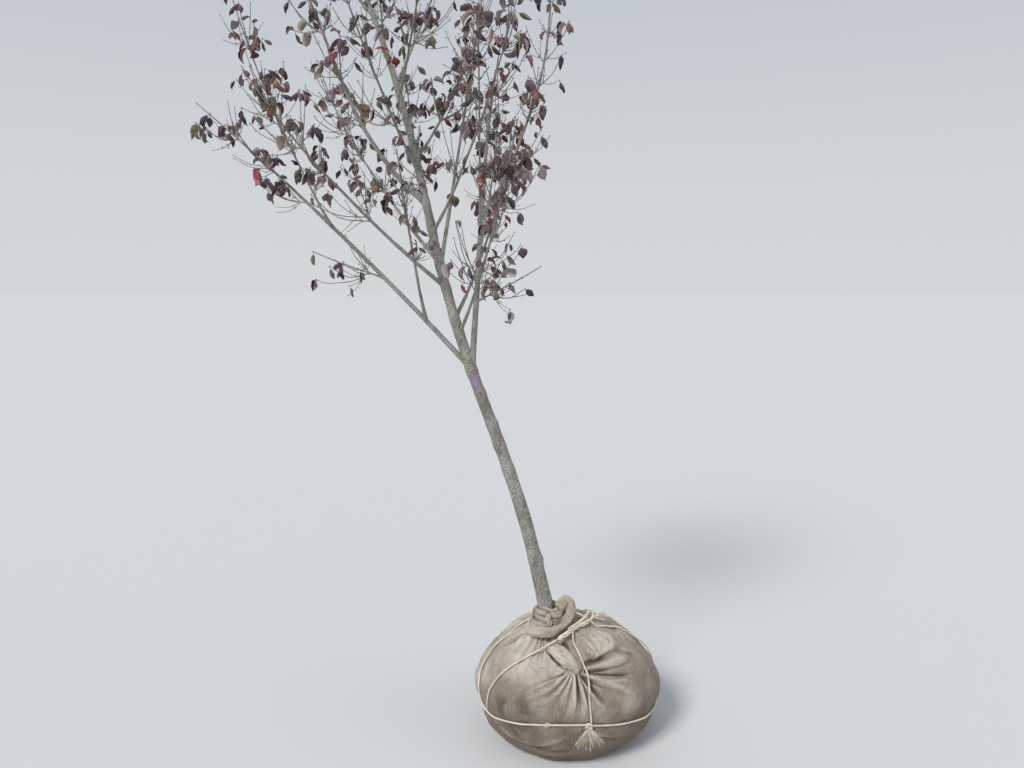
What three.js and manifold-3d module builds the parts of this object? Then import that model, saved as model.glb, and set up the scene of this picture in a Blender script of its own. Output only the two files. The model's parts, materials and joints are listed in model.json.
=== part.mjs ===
// A young ornamental tree, dug for planting: the root ball is wrapped in burlap and tied with
// twine, the trunk leans, and the open vase-shaped crown holds on to its curled autumn leaves.
// Millimetres, +Z up. The origin is the middle of the flat underside of the root ball.
import * as THREE from "three";
import { mergeVertices } from "three/addons/utils/BufferGeometryUtils.js";
import Module from "manifold-3d";

const wasm = await Module();
wasm.setup();

// Driving sizes
const gap = 0.4; // clear space between pieces that touch

const ball = {
  halfWidth: 346,
  halfDepth: 300,
  above: 258, // from the widest level to the top
  below: 253, // to where the underside would close if it were not flat
  middle: 205, // height of the widest level
  dome: 1.65, // power of the curve above the widest level, where 2 is round
  base: 2.5, // the same below it
  rounds: 32,
  rows: 20,
};

const trunk = {
  foot: [-66, -50, 430],
  length: 2660,
  steps: 20,
  bareSteps: 17, // foliage has the rest
  sides: 8,
  lean: 16, // degrees to the left
  sway: 4.2,
  waves: 1.72,
  early: 0.02, // how far up the first wave begins
  footRadius: 28,
  tipRadius: 4.5,
  flare: 9,
  flareShare: 0.022,
};

const limbSides = 6;
const stemSides = 4;
const twigSides = 3;
const twigRadius = 3.2;
const twigTipRadius = 1.8;
const stemTipRadius = 2.6;
const stemSteps = 6;
const twigSteps = 2;
const twigAngle = 42; // degrees from the stem
const leaf = { length: 108, width: 60, thickness: 2.4, fold: 7, droop: 24, sunk: 0.6 };
const spaceBetween = 12; // between the spaces of two masses
const limbClearance = 8; // between foliage and any limb
const bareShare = 0.45; // of a limb that carries no other, before its foliage begins
const twigSpacing = 200; // between pairs of twigs along a stem

// Where each limb leaves its parent: at is the share of the parent's length, heading is degrees
// round from +X towards +Y, lean is degrees from upright, and lift bends it upright as it grows.
const limbs = [
  { name: "left_low", parent: "trunk", at: 0.38, heading: 174, lean: 43, length: 740, lift: -0.1,
    radii: [9.5, 6.5] },
  { name: "right_fork", parent: "trunk", at: 0.378, heading: 12, lean: 4, length: 580, lift: 0,
    radii: [11.5, 8.5] },
  { name: "front_low", parent: "trunk", at: 0.43, heading: -62, lean: 44, length: 330, lift: 0.4,
    radii: [6.5, 4.5] },
  { name: "back_low", parent: "trunk", at: 0.45, heading: 64, lean: 46, length: 350, lift: 0.4,
    radii: [7, 4.8] },
  { name: "left_middle", parent: "trunk", at: 0.493, heading: 200, lean: 51, length: 480, lift: 0.2,
    radii: [7.5, 5] },
  { name: "inner_upright", parent: "trunk", at: 0.521, heading: 20, lean: 10, length: 420, lift: 0,
    radii: [7.2, 5.8] },
  { name: "left_inner", parent: "trunk", at: 0.524, heading: 152, lean: 44, length: 440, lift: 0.2,
    radii: [6.5, 4.8] },
  { name: "front_middle", parent: "trunk", at: 0.565, heading: -48, lean: 44, length: 310, lift: 0.4,
    radii: [6, 4.2] },
  { name: "back_middle", parent: "trunk", at: 0.575, heading: 108, lean: 45, length: 320, lift: 0.35,
    radii: [6, 4.2] },
  { name: "left_high", parent: "trunk", at: 0.603, heading: 188, lean: 48, length: 540, lift: 1.2,
    radii: [9, 6.2] },
  { name: "front_high", parent: "trunk", at: 0.64, heading: -122, lean: 42, length: 280, lift: 0.35,
    radii: [5.5, 4] },
  { name: "back_high", parent: "trunk", at: 0.66, heading: 52, lean: 42, length: 280, lift: 0.35,
    radii: [5.5, 4] },
  { name: "front_top", parent: "trunk", at: 0.74, heading: -62, lean: 38, length: 170, lift: 0.3,
    radii: [4.8, 3.8] },
  { name: "right_high", parent: "trunk", at: 0.755, heading: 8, lean: 25, length: 190, lift: 0.15,
    radii: [5.2, 4] },
  { name: "back_top", parent: "trunk", at: 0.8, heading: 105, lean: 36, length: 150, lift: 0.3,
    radii: [4.5, 3.6] },
  { name: "left_top", parent: "trunk", at: 0.84, heading: 186, lean: 42, length: 120, lift: 0.4,
    radii: [4.4, 3.6] },
  { name: "left_upright", parent: "left_low", at: 0.316, heading: 256, lean: 30, length: 240, lift: 0.5,
    radii: [6.2, 4.6] },
  { name: "left_spur", parent: "left_low", at: 0.6, heading: 206, lean: 72, length: 60, lift: 0,
    radii: [3.6, 3] },
  { name: "left_whip", parent: "left_low", at: 0.95, heading: 178, lean: 30, length: 130, lift: 0.3,
    radii: [5.2, 4.4] },
  { name: "right_bend", parent: "right_fork", at: 0.93, heading: -8, lean: 35, length: 310, lift: 0.9,
    radii: [7.4, 6] },
  { name: "right_spur", parent: "right_fork", at: 0.42, heading: -14, lean: 64, length: 60, lift: 0,
    radii: [3.6, 3] },
  { name: "right_back", parent: "right_fork", at: 0.72, heading: 78, lean: 40, length: 240, lift: 0.35,
    radii: [5.4, 4] },
  { name: "right_front", parent: "right_fork", at: 0.82, heading: -88, lean: 38, length: 220, lift: 0.35,
    radii: [5.2, 4] },
];

// Each mass of foliage grows on from its limb: length is how far its stem grows past the limb's
// own length, reach is its longest twig's, and drift leans the stem to +X as it grows.
const masses = [
  { limb: "trunk", length: 460, reach: 150, lift: 0.2, drift: 0 },
  { limb: "left_low", length: 600, reach: 170, lift: 0, drift: -0.1 },
  { limb: "right_fork", length: 560, reach: 140, lift: 0.1, drift: 0.15 },
  { limb: "front_low", length: 460, reach: 160, lift: 0.5, drift: 0 },
  { limb: "back_low", length: 470, reach: 160, lift: 0.5, drift: 0 },
  { limb: "left_middle", length: 460, reach: 160, lift: 0.4, drift: 0 },
  { limb: "inner_upright", length: 680, reach: 150, lift: 0.1, drift: 0 },
  { limb: "left_inner", length: 480, reach: 150, lift: 0.5, drift: 0.1 },
  { limb: "front_middle", length: 500, reach: 150, lift: 0.5, drift: 0 },
  { limb: "back_middle", length: 520, reach: 150, lift: 0.5, drift: 0 },
  { limb: "left_high", length: 600, reach: 150, lift: 0, drift: 0 },
  { limb: "front_high", length: 500, reach: 140, lift: 0.3, drift: 0 },
  { limb: "back_high", length: 500, reach: 140, lift: 0.3, drift: 0 },
  { limb: "front_top", length: 440, reach: 130, lift: 0.3, drift: 0 },
  { limb: "right_high", length: 500, reach: 130, lift: 0.2, drift: 0 },
  { limb: "back_top", length: 420, reach: 130, lift: 0.3, drift: 0 },
  { limb: "left_top", length: 380, reach: 130, lift: 0.5, drift: 0 },
  { limb: "left_upright", length: 360, reach: 150, lift: 0.3, drift: 0 },
  { limb: "left_spur", length: 200, reach: 110, lift: 0.1, drift: 0 },
  { limb: "left_whip", length: 720, reach: 150, lift: 0.3, drift: 0.1 },
  { limb: "right_bend", length: 640, reach: 110, lift: 0.1, drift: -0.6 },
  { limb: "right_spur", length: 200, reach: 110, lift: 0.1, drift: 0 },
  { limb: "right_back", length: 500, reach: 140, lift: 0.4, drift: -0.1 },
  { limb: "right_front", length: 500, reach: 140, lift: 0.4, drift: 0 },
];

const bark = new THREE.MeshStandardMaterial({ color: 0x827c74, roughness: 0.85 });
const foliage = new THREE.MeshStandardMaterial({ color: 0x6a4748, roughness: 0.7 });
const burlap = new THREE.MeshStandardMaterial({ color: 0xa8957c, roughness: 0.95 });
const twine = new THREE.MeshStandardMaterial({ color: 0xd9ccae, roughness: 0.9 });

const up = new THREE.Vector3(0, 0, 1);
const radians = THREE.MathUtils.degToRad;
const vector = (point) => new THREE.Vector3(...point);

// Solids and meshes

function solidOf(geometry) {
  const bare = geometry.clone();
  for (const name of ["normal", "uv"]) bare.deleteAttribute(name);
  const merged = mergeVertices(bare, 1e-3);
  return new wasm.Manifold(
    new wasm.Mesh({
      numProp: 3,
      vertProperties: merged.getAttribute("position").array,
      triVerts: new Uint32Array(merged.getIndex().array),
    }),
  );
}

function geometryOf(solid) {
  const mesh = solid.getMesh();
  const geometry = new THREE.BufferGeometry();
  geometry.setAttribute("position", new THREE.BufferAttribute(mesh.vertProperties, 3));
  geometry.setIndex(new THREE.BufferAttribute(mesh.triVerts, 1));
  const flat = geometry.toNonIndexed();
  flat.computeVertexNormals();
  return flat;
}

function largestBody(solid) {
  return solid.decompose().reduce((best, body) => (body.volume() > best.volume() ? body : best));
}

const group = new THREE.Group();

function addMesh(name, geometry, material) {
  const mesh = new THREE.Mesh(geometry, material);
  mesh.name = name;
  group.add(mesh);
}

// A repeatable stream of numbers from 0 to 1
function randomFrom(seed) {
  let state = (seed * 7919 + 104729) % 2147483647;
  return () => {
    state = (state * 48271) % 2147483647;
    return state / 2147483647;
  };
}

// Paths and tubes

function directionOf(heading, lean) {
  const round = radians(heading);
  const tilt = radians(lean);
  return new THREE.Vector3(
    Math.sin(tilt) * Math.cos(round),
    Math.sin(tilt) * Math.sin(round),
    Math.cos(tilt),
  );
}

// A shoot grows in equal steps, and every step after the first bends it a little more.
function grow(from, direction, length, bend, steps) {
  const points = [from.clone()];
  const heading = direction.clone().normalize();
  for (let i = 0; i < steps; i++) {
    if (i > 0) heading.addScaledVector(bend, 1 / steps).normalize();
    points.push(points[i].clone().addScaledVector(heading, length / steps));
  }
  return points;
}

function pointAlong(path, share) {
  const place = share * (path.length - 1);
  const i = Math.min(Math.floor(place), path.length - 2);
  return path[i].clone().lerp(path[i + 1], place - i);
}

function directionAlong(path, share) {
  const i = Math.min(Math.floor(share * (path.length - 1)), path.length - 2);
  return path[i + 1].clone().sub(path[i]).normalize();
}

function lengthOf(path) {
  return path.slice(1).reduce((sum, point, i) => sum + point.distanceTo(path[i]), 0);
}

function distanceToPath(point, path) {
  let nearest = Infinity;
  for (let i = 0; i < path.length - 1; i++) {
    const onLine = new THREE.Line3(path[i], path[i + 1]).closestPointToPoint(
      point, true, new THREE.Vector3());
    nearest = Math.min(nearest, onLine.distanceTo(point));
  }
  return nearest;
}

// A cylinder whose rings are moved on to the path. Swell makes it thicker all round.
function tube(path, radiusAt, sides, swell = 0) {
  const steps = path.length - 1;
  const geometry = new THREE.CylinderGeometry(1, 1, 1, sides, steps);
  const tangents = path.map((_, i) =>
    path[Math.min(i + 1, steps)].clone().sub(path[Math.max(i - 1, 0)]).normalize());
  let side = new THREE.Vector3(0, 1, 0).cross(tangents[0]);
  if (side.length() < 0.2) side = new THREE.Vector3(1, 0, 0).cross(tangents[0]);
  const frames = tangents.map((tangent) => {
    side = side.clone().addScaledVector(tangent, -side.dot(tangent)).normalize();
    return { side, front: side.clone().cross(tangent) };
  });
  const position = geometry.getAttribute("position");
  for (let i = 0; i < position.count; i++) {
    const ring = Math.round((position.getY(i) + 0.5) * steps);
    const radius = radiusAt(ring / steps) + swell;
    const point = path[ring]
      .clone()
      .addScaledVector(frames[ring].side, position.getX(i) * radius)
      .addScaledVector(frames[ring].front, position.getZ(i) * radius);
    position.setXYZ(i, point.x, point.y, point.z);
  }
  return geometry;
}

const taper = (from, to) => (share) => from + (to - from) * share;

// The root ball: a full rounded form, flat below, with a few soft bulges in it

const ballMiddle = new THREE.Vector3(0, 0, ball.middle);

function ballReach(direction) {
  const across = Math.hypot(direction.x / ball.halfWidth, direction.y / ball.halfDepth);
  const tall = Math.abs(direction.z) / (direction.z > 0 ? ball.above : ball.below);
  const power = direction.z > 0 ? ball.dome : ball.base;
  const round = (across ** power + tall ** power) ** (-1 / power);
  const turn = Math.atan2(direction.y, direction.x);
  const level = Math.hypot(direction.x, direction.y);
  const bulge =
    0.012 * Math.sin(3 * turn + 0.8) + 0.009 * Math.sin(5 * turn + 2.1) * (1 + direction.z);
  return round * (1 + bulge * level);
}

function onBall(direction, lift = 0) {
  const reach = ballReach(direction) + lift;
  const toFloor = direction.z < 0 ? ball.middle / -direction.z : Infinity;
  return ballMiddle.clone().addScaledVector(direction, Math.min(reach, toFloor));
}

function ballGeometry(lift = 0) {
  const geometry = new THREE.SphereGeometry(1, ball.rounds, ball.rows);
  geometry.rotateX(Math.PI / 2);
  const position = geometry.getAttribute("position");
  for (let i = 0; i < position.count; i++) {
    const direction = new THREE.Vector3().fromBufferAttribute(position, i).normalize();
    const point = onBall(direction, lift);
    position.setXYZ(i, point.x, point.y, point.z);
  }
  return geometry;
}

const ballClear = solidOf(ballGeometry(gap));

// The trunk and its limbs

function growTrunk() {
  const points = [vector(trunk.foot)];
  const step = trunk.length / trunk.steps;
  for (let i = 0; i < trunk.steps; i++) {
    const share = (i + 0.5) / trunk.steps;
    const lean = trunk.lean - trunk.sway * Math.cos(2 * Math.PI * trunk.waves * (share - trunk.early));
    points.push(points[i].clone().addScaledVector(directionOf(180, lean), step));
  }
  return points;
}

function trunkRadius(share) {
  const flare = trunk.flare * Math.exp(-share / trunk.flareShare);
  return taper(trunk.footRadius, trunk.tipRadius)(share) + flare;
}

// A limb is bare up to a corner of its whole path. The rest belongs to the stem of its foliage.
function bareTo(corner, whole, radius, sides) {
  return {
    whole,
    path: whole.slice(0, corner + 1),
    leafy: whole.slice(corner),
    radius: (share) => radius((share * corner) / (whole.length - 1)),
    sides,
  };
}

const grown = { trunk: bareTo(trunk.bareSteps, growTrunk(), trunkRadius, trunk.sides) };

for (const limb of limbs) {
  const start = pointAlong(grown[limb.parent].whole, limb.at);
  const direction = directionOf(limb.heading, limb.lean);
  const bend = new THREE.Vector3(0, 0, limb.lift);
  const steps = Math.max(2, Math.round(limb.length / 110));
  const whole = grow(start, direction, limb.length, bend, steps);
  const carries = limbs.some((other) => other.parent === limb.name);
  const corner = carries ? steps : Math.max(1, Math.round(bareShare * steps));
  grown[limb.name] = bareTo(corner, whole, taper(...limb.radii), limbSides);
}

// Each limb is cut clear of its parent and of the limbs that were made before it.
function limbSolids() {
  const made = {};
  for (const [name, limb] of Object.entries(grown)) {
    let solid = solidOf(tube(limb.path, limb.radius, limb.sides));
    if (name === "trunk") solid = solid.subtract(ballClear);
    const start = limb.path[0];
    for (const [other, earlier] of Object.entries(grown)) {
      if (other === name) break;
      if (distanceToPath(start, earlier.path) > earlier.radius(0) * 3) continue;
      solid = solid.subtract(solidOf(tube(earlier.path, earlier.radius, earlier.sides, gap)));
    }
    made[name] = largestBody(solid);
  }
  return made;
}

// Foliage

for (const [i, mass] of masses.entries()) {
  const limb = grown[mass.limb];
  const bend = new THREE.Vector3(mass.drift, 0, mass.lift);
  const heading = directionAlong(limb.whole, 1);
  const onward = grow(limb.whole.at(-1), heading, mass.length, bend, stemSteps);
  mass.seed = i + 1;
  mass.radius = taper(limb.radius(1) * 0.92, stemTipRadius);
  mass.stem = [...limb.leafy.slice(0, -1), ...onward];
  const first = directionAlong(mass.stem, 0);
  const turn = first.angleTo(directionAlong(limb.path, 1));
  const clear = (gap + mass.radius(0) * Math.sin(turn)) / Math.cos(turn);
  mass.stem[0] = mass.stem[0].clone().addScaledVector(first, clear);
  mass.pairs = Math.max(1, Math.round(lengthOf(mass.stem) / twigSpacing));
}

// A point is in a mass's own space when it is nearer to that mass's stem than to any other.
function inOwnSpace(point, mass) {
  const own = distanceToPath(point, mass.stem);
  return masses.every(
    (other) => other === mass || distanceToPath(point, other.stem) > own + spaceBetween);
}

function clearOfLimbs(point) {
  return Object.values(grown).every(({ path, radius }) => {
    const steps = path.length - 1;
    return path.slice(1).every((_, i) =>
      distanceToPath(point, [path[i], path[i + 1]]) > radius(i / steps) + limbClearance);
  });
}

// Twigs leave the stem in opposite pairs, each pair turned a quarter from the last.
function twigsOf(mass) {
  const random = randomFrom(mass.seed);
  const twigs = [];
  for (let pair = 0; pair < mass.pairs; pair++) {
    const share = 0.1 + (0.8 * pair) / mass.pairs + 0.05 * random();
    const from = pointAlong(mass.stem, share);
    const along = directionAlong(mass.stem, share);
    const side = new THREE.Vector3(0, 1, 0).cross(along).normalize();
    for (const half of [0, 1]) {
      const round = Math.PI * (pair / 2 + half) + 0.6 * (random() - 0.5);
      const length = mass.reach * (1 - 0.5 * share) * (0.75 + 0.5 * random());
      const angle = radians(twigAngle + 16 * (random() - 0.5));
      const outward = side.clone().applyAxisAngle(along, round);
      const direction = along.clone().multiplyScalar(Math.cos(angle));
      direction.addScaledVector(outward, Math.sin(angle));
      const lift = new THREE.Vector3(0, 0, 0.7);
      const path = grow(from, direction, length, lift, twigSteps);
      const kept = path.findIndex(
        (point, i) => i > 0 && !(inOwnSpace(point, mass) && clearOfLimbs(point)));
      if (kept === 1) continue;
      const radius = Math.min(twigRadius, 0.66 * mass.radius(share));
      twigs.push({ path: kept < 0 ? path : path.slice(0, kept), radius });
    }
  }
  return twigs;
}

// A leaf is a thin folded blade of eight faces, with its root on the twig.
function leafGeometry(root, along, side) {
  const normal = along.clone().cross(side);
  const geometry = new THREE.OctahedronGeometry(1);
  const position = geometry.getAttribute("position");
  for (let i = 0; i < position.count; i++) {
    const [end, edge, face] = [position.getX(i), position.getY(i), position.getZ(i)];
    const share = Math.abs(end) > 0.5 ? (1 + end) / 2 : 0.42;
    const point = root
      .clone()
      .addScaledVector(along, share * leaf.length - leaf.sunk)
      .addScaledVector(side, (edge * leaf.width) / 2)
      .addScaledVector(normal, (face * leaf.thickness) / 2 - Math.abs(edge) * leaf.fold);
    point.z -= leaf.droop * share * share;
    position.setXYZ(i, point.x, point.y, point.z);
  }
  return geometry;
}

// Leaves hang in pairs from a shoot, at the given shares of its length.
function leavesOn(path, shares, mass, random) {
  const solids = [];
  for (const share of shares) {
    const root = pointAlong(path, share);
    const along = directionAlong(path, share);
    const across = along.clone().cross(up).normalize();
    for (const half of [-1, 1]) {
      const out = across.clone().multiplyScalar(half).addScaledVector(along, 0.5 + 0.5 * share);
      out.z -= 0.5 + 0.5 * random();
      out.applyAxisAngle(along, 0.8 * (random() - 0.5)).normalize();
      const side = out.clone().cross(up).normalize();
      const middle = root.clone().addScaledVector(out, leaf.length * 0.42);
      const tip = root.clone().addScaledVector(out, leaf.length);
      tip.z -= leaf.droop;
      const edges = [-0.5, 0.5].map((part) => middle.clone().addScaledVector(side, leaf.width * part));
      const inside = [middle, tip, ...edges].every(
        (point) => inOwnSpace(point, mass) && clearOfLimbs(point));
      if (inside) solids.push(solidOf(leafGeometry(root, out, side)));
    }
  }
  return solids;
}

function massSolid(mass) {
  const random = randomFrom(mass.seed + 500);
  const parts = [solidOf(tube(mass.stem, mass.radius, stemSides))];
  for (const { path, radius } of twigsOf(mass)) {
    parts.push(solidOf(tube(path, taper(radius, twigTipRadius), twigSides)));
    parts.push(...leavesOn(path, [0.97], mass, random));
  }
  parts.push(...leavesOn(mass.stem, [0.34, 0.68, 0.99], mass, random));
  return largestBody(wasm.Manifold.union(parts));
}

// The wrapping: burlap gathered round the foot of the trunk, a twisted roll of it on the front,
// and twine tied over the ball

const collar = { middle: [-76, -62, 452], round: 62, thick: 34, wander: 8 };
const ear = { from: [-24, -60, 456], heading: 20, lean: 12, length: 98, curl: -0.9, radii: [28, 16] };
const roll = {
  path: [[-86, -150, 412], [-44, -184, 397], [0, -212, 378], [30, -230, 354]],
  radii: [24, 16],
};
const bundle = {
  path: [[-46, -168, 438], [-10, -141, 446], [34, -90, 447], [84, -16, 460]],
  radius: 9,
};
const twineRadius = 3.6;
const twineLift = 4.4; // from the ball to the middle of the twine
const knot = { radius: 14, stretch: [1.3, 1, 0.9] };
const girdle = { height: 132, rise: 53, riseAt: -92, firstCorner: -7 }; // rises where it is knotted

// Each run of twine lies on the ball between two directions, in degrees round and up.
const runs = [
  { name: "twine_front", from: [-86, 58], to: [-77, -6] },
  { name: "twine_front_left", from: [-106, 58], to: [-156, -13] },
  { name: "twine_left", from: [176, 58], to: [-159, -13] },
  { name: "twine_back_left", from: [140, 60], to: [132, -14] },
  { name: "twine_back", from: [88, 62], to: [66, -15] },
  { name: "twine_right", from: [-34, 66], to: [12, -13] },
];
const runSteps = 11;

function collarSolid(swell) {
  const ring = new THREE.TorusGeometry(collar.round, collar.thick + swell, 6, 14);
  const position = ring.getAttribute("position");
  for (let i = 0; i < position.count; i++) {
    const turn = Math.atan2(position.getY(i), position.getX(i));
    const fold = 1 + 0.1 * Math.sin(4 * turn + 1) + 0.06 * Math.sin(7 * turn);
    const height = position.getZ(i) + collar.wander * Math.sin(2 * turn);
    position.setXYZ(i, position.getX(i) * fold, position.getY(i) * fold, height);
  }
  ring.translate(...collar.middle);
  const curl = new THREE.Vector3(ear.curl, 0, 0);
  const path = grow(vector(ear.from), directionOf(ear.heading, ear.lean), ear.length, curl, 4);
  return solidOf(ring).add(solidOf(tube(path, taper(...ear.radii), 7, swell)));
}

function rollSolid(swell) {
  const curve = new THREE.CatmullRomCurve3(roll.path.map(vector));
  return solidOf(tube(curve.getSpacedPoints(7), taper(...roll.radii), 8, swell));
}

function bundleSolid(swell) {
  const curve = new THREE.CatmullRomCurve3(bundle.path.map(vector));
  return solidOf(tube(curve.getSpacedPoints(7), () => bundle.radius, 6, swell));
}

// The girdle's corners stand over the ball's, from its knot round and back to it.
function girdlePath() {
  return Array.from({ length: ball.rounds + 1 }, (_, i) => {
    const turn = (2 * Math.PI * (girdle.firstCorner + i)) / ball.rounds;
    const near = Math.max(0, Math.cos(turn - radians(girdle.riseAt)));
    const height = girdle.height + girdle.rise * near ** 3 - ball.middle;
    const direction = new THREE.Vector3(Math.cos(turn), Math.sin(turn), height / ball.halfWidth);
    return onBall(direction.normalize(), twineLift);
  });
}

function runPath({ from, to }) {
  const start = directionOf(from[0], 90 - from[1]);
  const end = directionOf(to[0], 90 - to[1]);
  const turn = start.angleTo(end);
  const axis = start.clone().cross(end).normalize();
  return Array.from({ length: runSteps + 1 }, (_, i) =>
    onBall(start.clone().applyAxisAngle(axis, (turn * i) / runSteps), twineLift));
}

function knotSolid(swell) {
  const shape = new THREE.IcosahedronGeometry(knot.radius + swell, 1);
  shape.scale(...knot.stretch);
  return solidOf(shape.translate(...girdlePath()[0].toArray()));
}

const twineSolid = (path) => (swell) => solidOf(tube(path, () => twineRadius, 4, swell));

// Each piece of the wrapping is cut clear of the ball, the trunk and the pieces fitted before it.
function addWrapping() {
  const fitted = [ballClear, solidOf(tube(grown.trunk.path, grown.trunk.radius, trunk.sides, gap))];
  const fit = (name, solidAt, material) => {
    const solid = fitted.reduce((left, other) => left.subtract(other), solidAt(0));
    addMesh(name, geometryOf(largestBody(solid)), material);
    fitted.push(solidAt(gap));
  };
  fit("knot_girdle", knotSolid, twine);
  fit("twine_girdle", twineSolid(girdlePath()), twine);
  fit("twine_bundle", bundleSolid, twine);
  fit("burlap_collar", collarSolid, burlap);
  fit("burlap_roll", rollSolid, burlap);
  for (const run of runs) fit(run.name, twineSolid(runPath(run)), twine);
}

addMesh("root_ball", ballGeometry(), burlap);
addWrapping();
for (const [name, solid] of Object.entries(limbSolids())) {
  addMesh(name === "trunk" ? "trunk" : `bough_${name}`, geometryOf(solid), bark);
}
for (const mass of masses) {
  const name = mass.limb === "trunk" ? "crown_top" : mass.limb;
  addMesh(`foliage_${name}`, geometryOf(massSolid(mass)), foliage);
}

export default group;
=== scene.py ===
import json
import math

import bpy
import numpy as np
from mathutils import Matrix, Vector, noise

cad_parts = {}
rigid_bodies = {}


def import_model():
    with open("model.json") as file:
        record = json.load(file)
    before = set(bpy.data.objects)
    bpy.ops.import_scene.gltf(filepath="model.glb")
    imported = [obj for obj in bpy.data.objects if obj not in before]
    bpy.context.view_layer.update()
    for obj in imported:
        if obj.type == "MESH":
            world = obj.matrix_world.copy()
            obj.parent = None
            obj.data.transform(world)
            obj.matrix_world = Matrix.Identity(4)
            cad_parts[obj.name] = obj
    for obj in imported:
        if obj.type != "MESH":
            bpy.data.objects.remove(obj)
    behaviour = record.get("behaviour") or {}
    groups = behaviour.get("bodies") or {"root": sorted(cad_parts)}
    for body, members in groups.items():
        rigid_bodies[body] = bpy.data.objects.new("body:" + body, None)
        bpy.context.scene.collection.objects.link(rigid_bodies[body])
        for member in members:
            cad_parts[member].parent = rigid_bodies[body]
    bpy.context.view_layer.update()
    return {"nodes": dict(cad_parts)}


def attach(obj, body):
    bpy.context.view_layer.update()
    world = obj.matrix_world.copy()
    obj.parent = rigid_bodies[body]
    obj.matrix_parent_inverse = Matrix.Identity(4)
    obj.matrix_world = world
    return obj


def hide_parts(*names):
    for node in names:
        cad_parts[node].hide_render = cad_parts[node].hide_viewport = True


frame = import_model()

# Places and sizes below are millimetres in the row's frame, and meshes are made in metres.
nodeNames = sorted(frame["nodes"])


# the camera stands where the photographer stood
viewpoint = {
    "place": (-0.208, -2.76, 1.73), "lookDown": 8.1, "lens": 27.03, "sensor": 36, "farthest": 200,
}

bpy.ops.object.camera_add(
    location=viewpoint["place"],
    rotation=(math.radians(90 - viewpoint["lookDown"]), 0, 0),
)
camera = bpy.context.object
camera.data.sensor_width = viewpoint["sensor"]
camera.data.lens = viewpoint["lens"]
camera.data.clip_end = viewpoint["farthest"]
bpy.context.scene.camera = camera


def paint(red, green, blue):
    # a colour as seen on a screen, made linear for the shader
    tones = [tone / 255 for tone in (red, green, blue)]
    linear = [tone / 12.92 if tone < 0.04 else ((tone + 0.055) / 1.055) ** 2.4 for tone in tones]
    return (*linear, 1)


# the trunk and limbs grow by the same rule as the solids
trunk = {
    "foot": (-66, -50, 430), "length": 2660, "steps": 20, "bareSteps": 17, "lean": 16,
    "sway": 4.2, "waves": 1.72, "early": 0.02,
    "footRadius": 28, "tipRadius": 4.5, "flare": 9, "flareShare": 0.022,
    "mass": (460, 150, 0.2, 0),
}

# a mass has the length that its stem goes on, its twigs' reach, and its lift and drift
limbColumns = ("parent", "at", "heading", "lean", "length", "lift", "radii", "mass")
limbs = {
    "left_low": ("trunk", 0.38, 174, 43, 740, -0.1, (9.5, 6.5), (600, 170, 0, -0.1)),
    "right_fork": ("trunk", 0.378, 12, 4, 580, 0, (11.5, 8.5), (560, 140, 0.1, 0.15)),
    "front_low": ("trunk", 0.43, -62, 44, 330, 0.4, (6.5, 4.5), (460, 160, 0.5, 0)),
    "back_low": ("trunk", 0.45, 64, 46, 350, 0.4, (7, 4.8), (470, 160, 0.5, 0)),
    "left_middle": ("trunk", 0.493, 200, 51, 480, 0.2, (7.5, 5), (460, 160, 0.4, 0)),
    "inner_upright": ("trunk", 0.521, 20, 10, 420, 0, (7.2, 5.8), (680, 150, 0.1, 0)),
    "left_inner": ("trunk", 0.524, 152, 44, 440, 0.2, (6.5, 4.8), (480, 150, 0.5, 0.1)),
    "front_middle": ("trunk", 0.565, -48, 44, 310, 0.4, (6, 4.2), (500, 150, 0.5, 0)),
    "back_middle": ("trunk", 0.575, 108, 45, 320, 0.35, (6, 4.2), (520, 150, 0.5, 0)),
    "left_high": ("trunk", 0.603, 188, 48, 540, 1.2, (9, 6.2), (600, 150, 0, 0)),
    "front_high": ("trunk", 0.64, -122, 42, 280, 0.35, (5.5, 4), (500, 140, 0.3, 0)),
    "back_high": ("trunk", 0.66, 52, 42, 280, 0.35, (5.5, 4), (500, 140, 0.3, 0)),
    "front_top": ("trunk", 0.74, -62, 38, 170, 0.3, (4.8, 3.8), (440, 130, 0.3, 0)),
    "right_high": ("trunk", 0.755, 8, 25, 190, 0.15, (5.2, 4), (500, 130, 0.2, 0)),
    "back_top": ("trunk", 0.8, 105, 36, 150, 0.3, (4.5, 3.6), (420, 130, 0.3, 0)),
    "left_top": ("trunk", 0.84, 186, 42, 120, 0.4, (4.4, 3.6), (380, 130, 0.5, 0)),
    "left_upright": ("left_low", 0.316, 256, 30, 240, 0.5, (6.2, 4.6), (360, 150, 0.3, 0)),
    "left_spur": ("left_low", 0.6, 206, 72, 60, 0, (3.6, 3), (200, 110, 0.1, 0)),
    "left_whip": ("left_low", 0.95, 178, 30, 130, 0.3, (5.2, 4.4), (720, 150, 0.3, 0.1)),
    "right_bend": ("right_fork", 0.93, -8, 35, 310, 0.9, (7.4, 6), (640, 110, 0.1, -0.6)),
    "right_spur": ("right_fork", 0.42, -14, 64, 60, 0, (3.6, 3), (200, 110, 0.1, 0)),
    "right_back": ("right_fork", 0.72, 78, 40, 240, 0.35, (5.4, 4), (500, 140, 0.4, -0.1)),
    "right_front": ("right_fork", 0.82, -88, 38, 220, 0.35, (5.2, 4), (500, 140, 0.4, 0)),
}

limbStep = 110       # about the length of one straight piece of a limb
bareShare = 0.45     # of a limb that carries no other, before its foliage begins
twigSpacing = 200    # between the pairs of twigs that the solids have
stemSteps = 6        # pieces of a stem beyond its limb
stemTipRadius = 2.6
clearance = {"limb": 8, "stem": 12}     # kept free of other shoots and leaves

rightward, backward, upward = np.eye(3)


def unit(vector):
    return vector / np.linalg.norm(vector)


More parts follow.
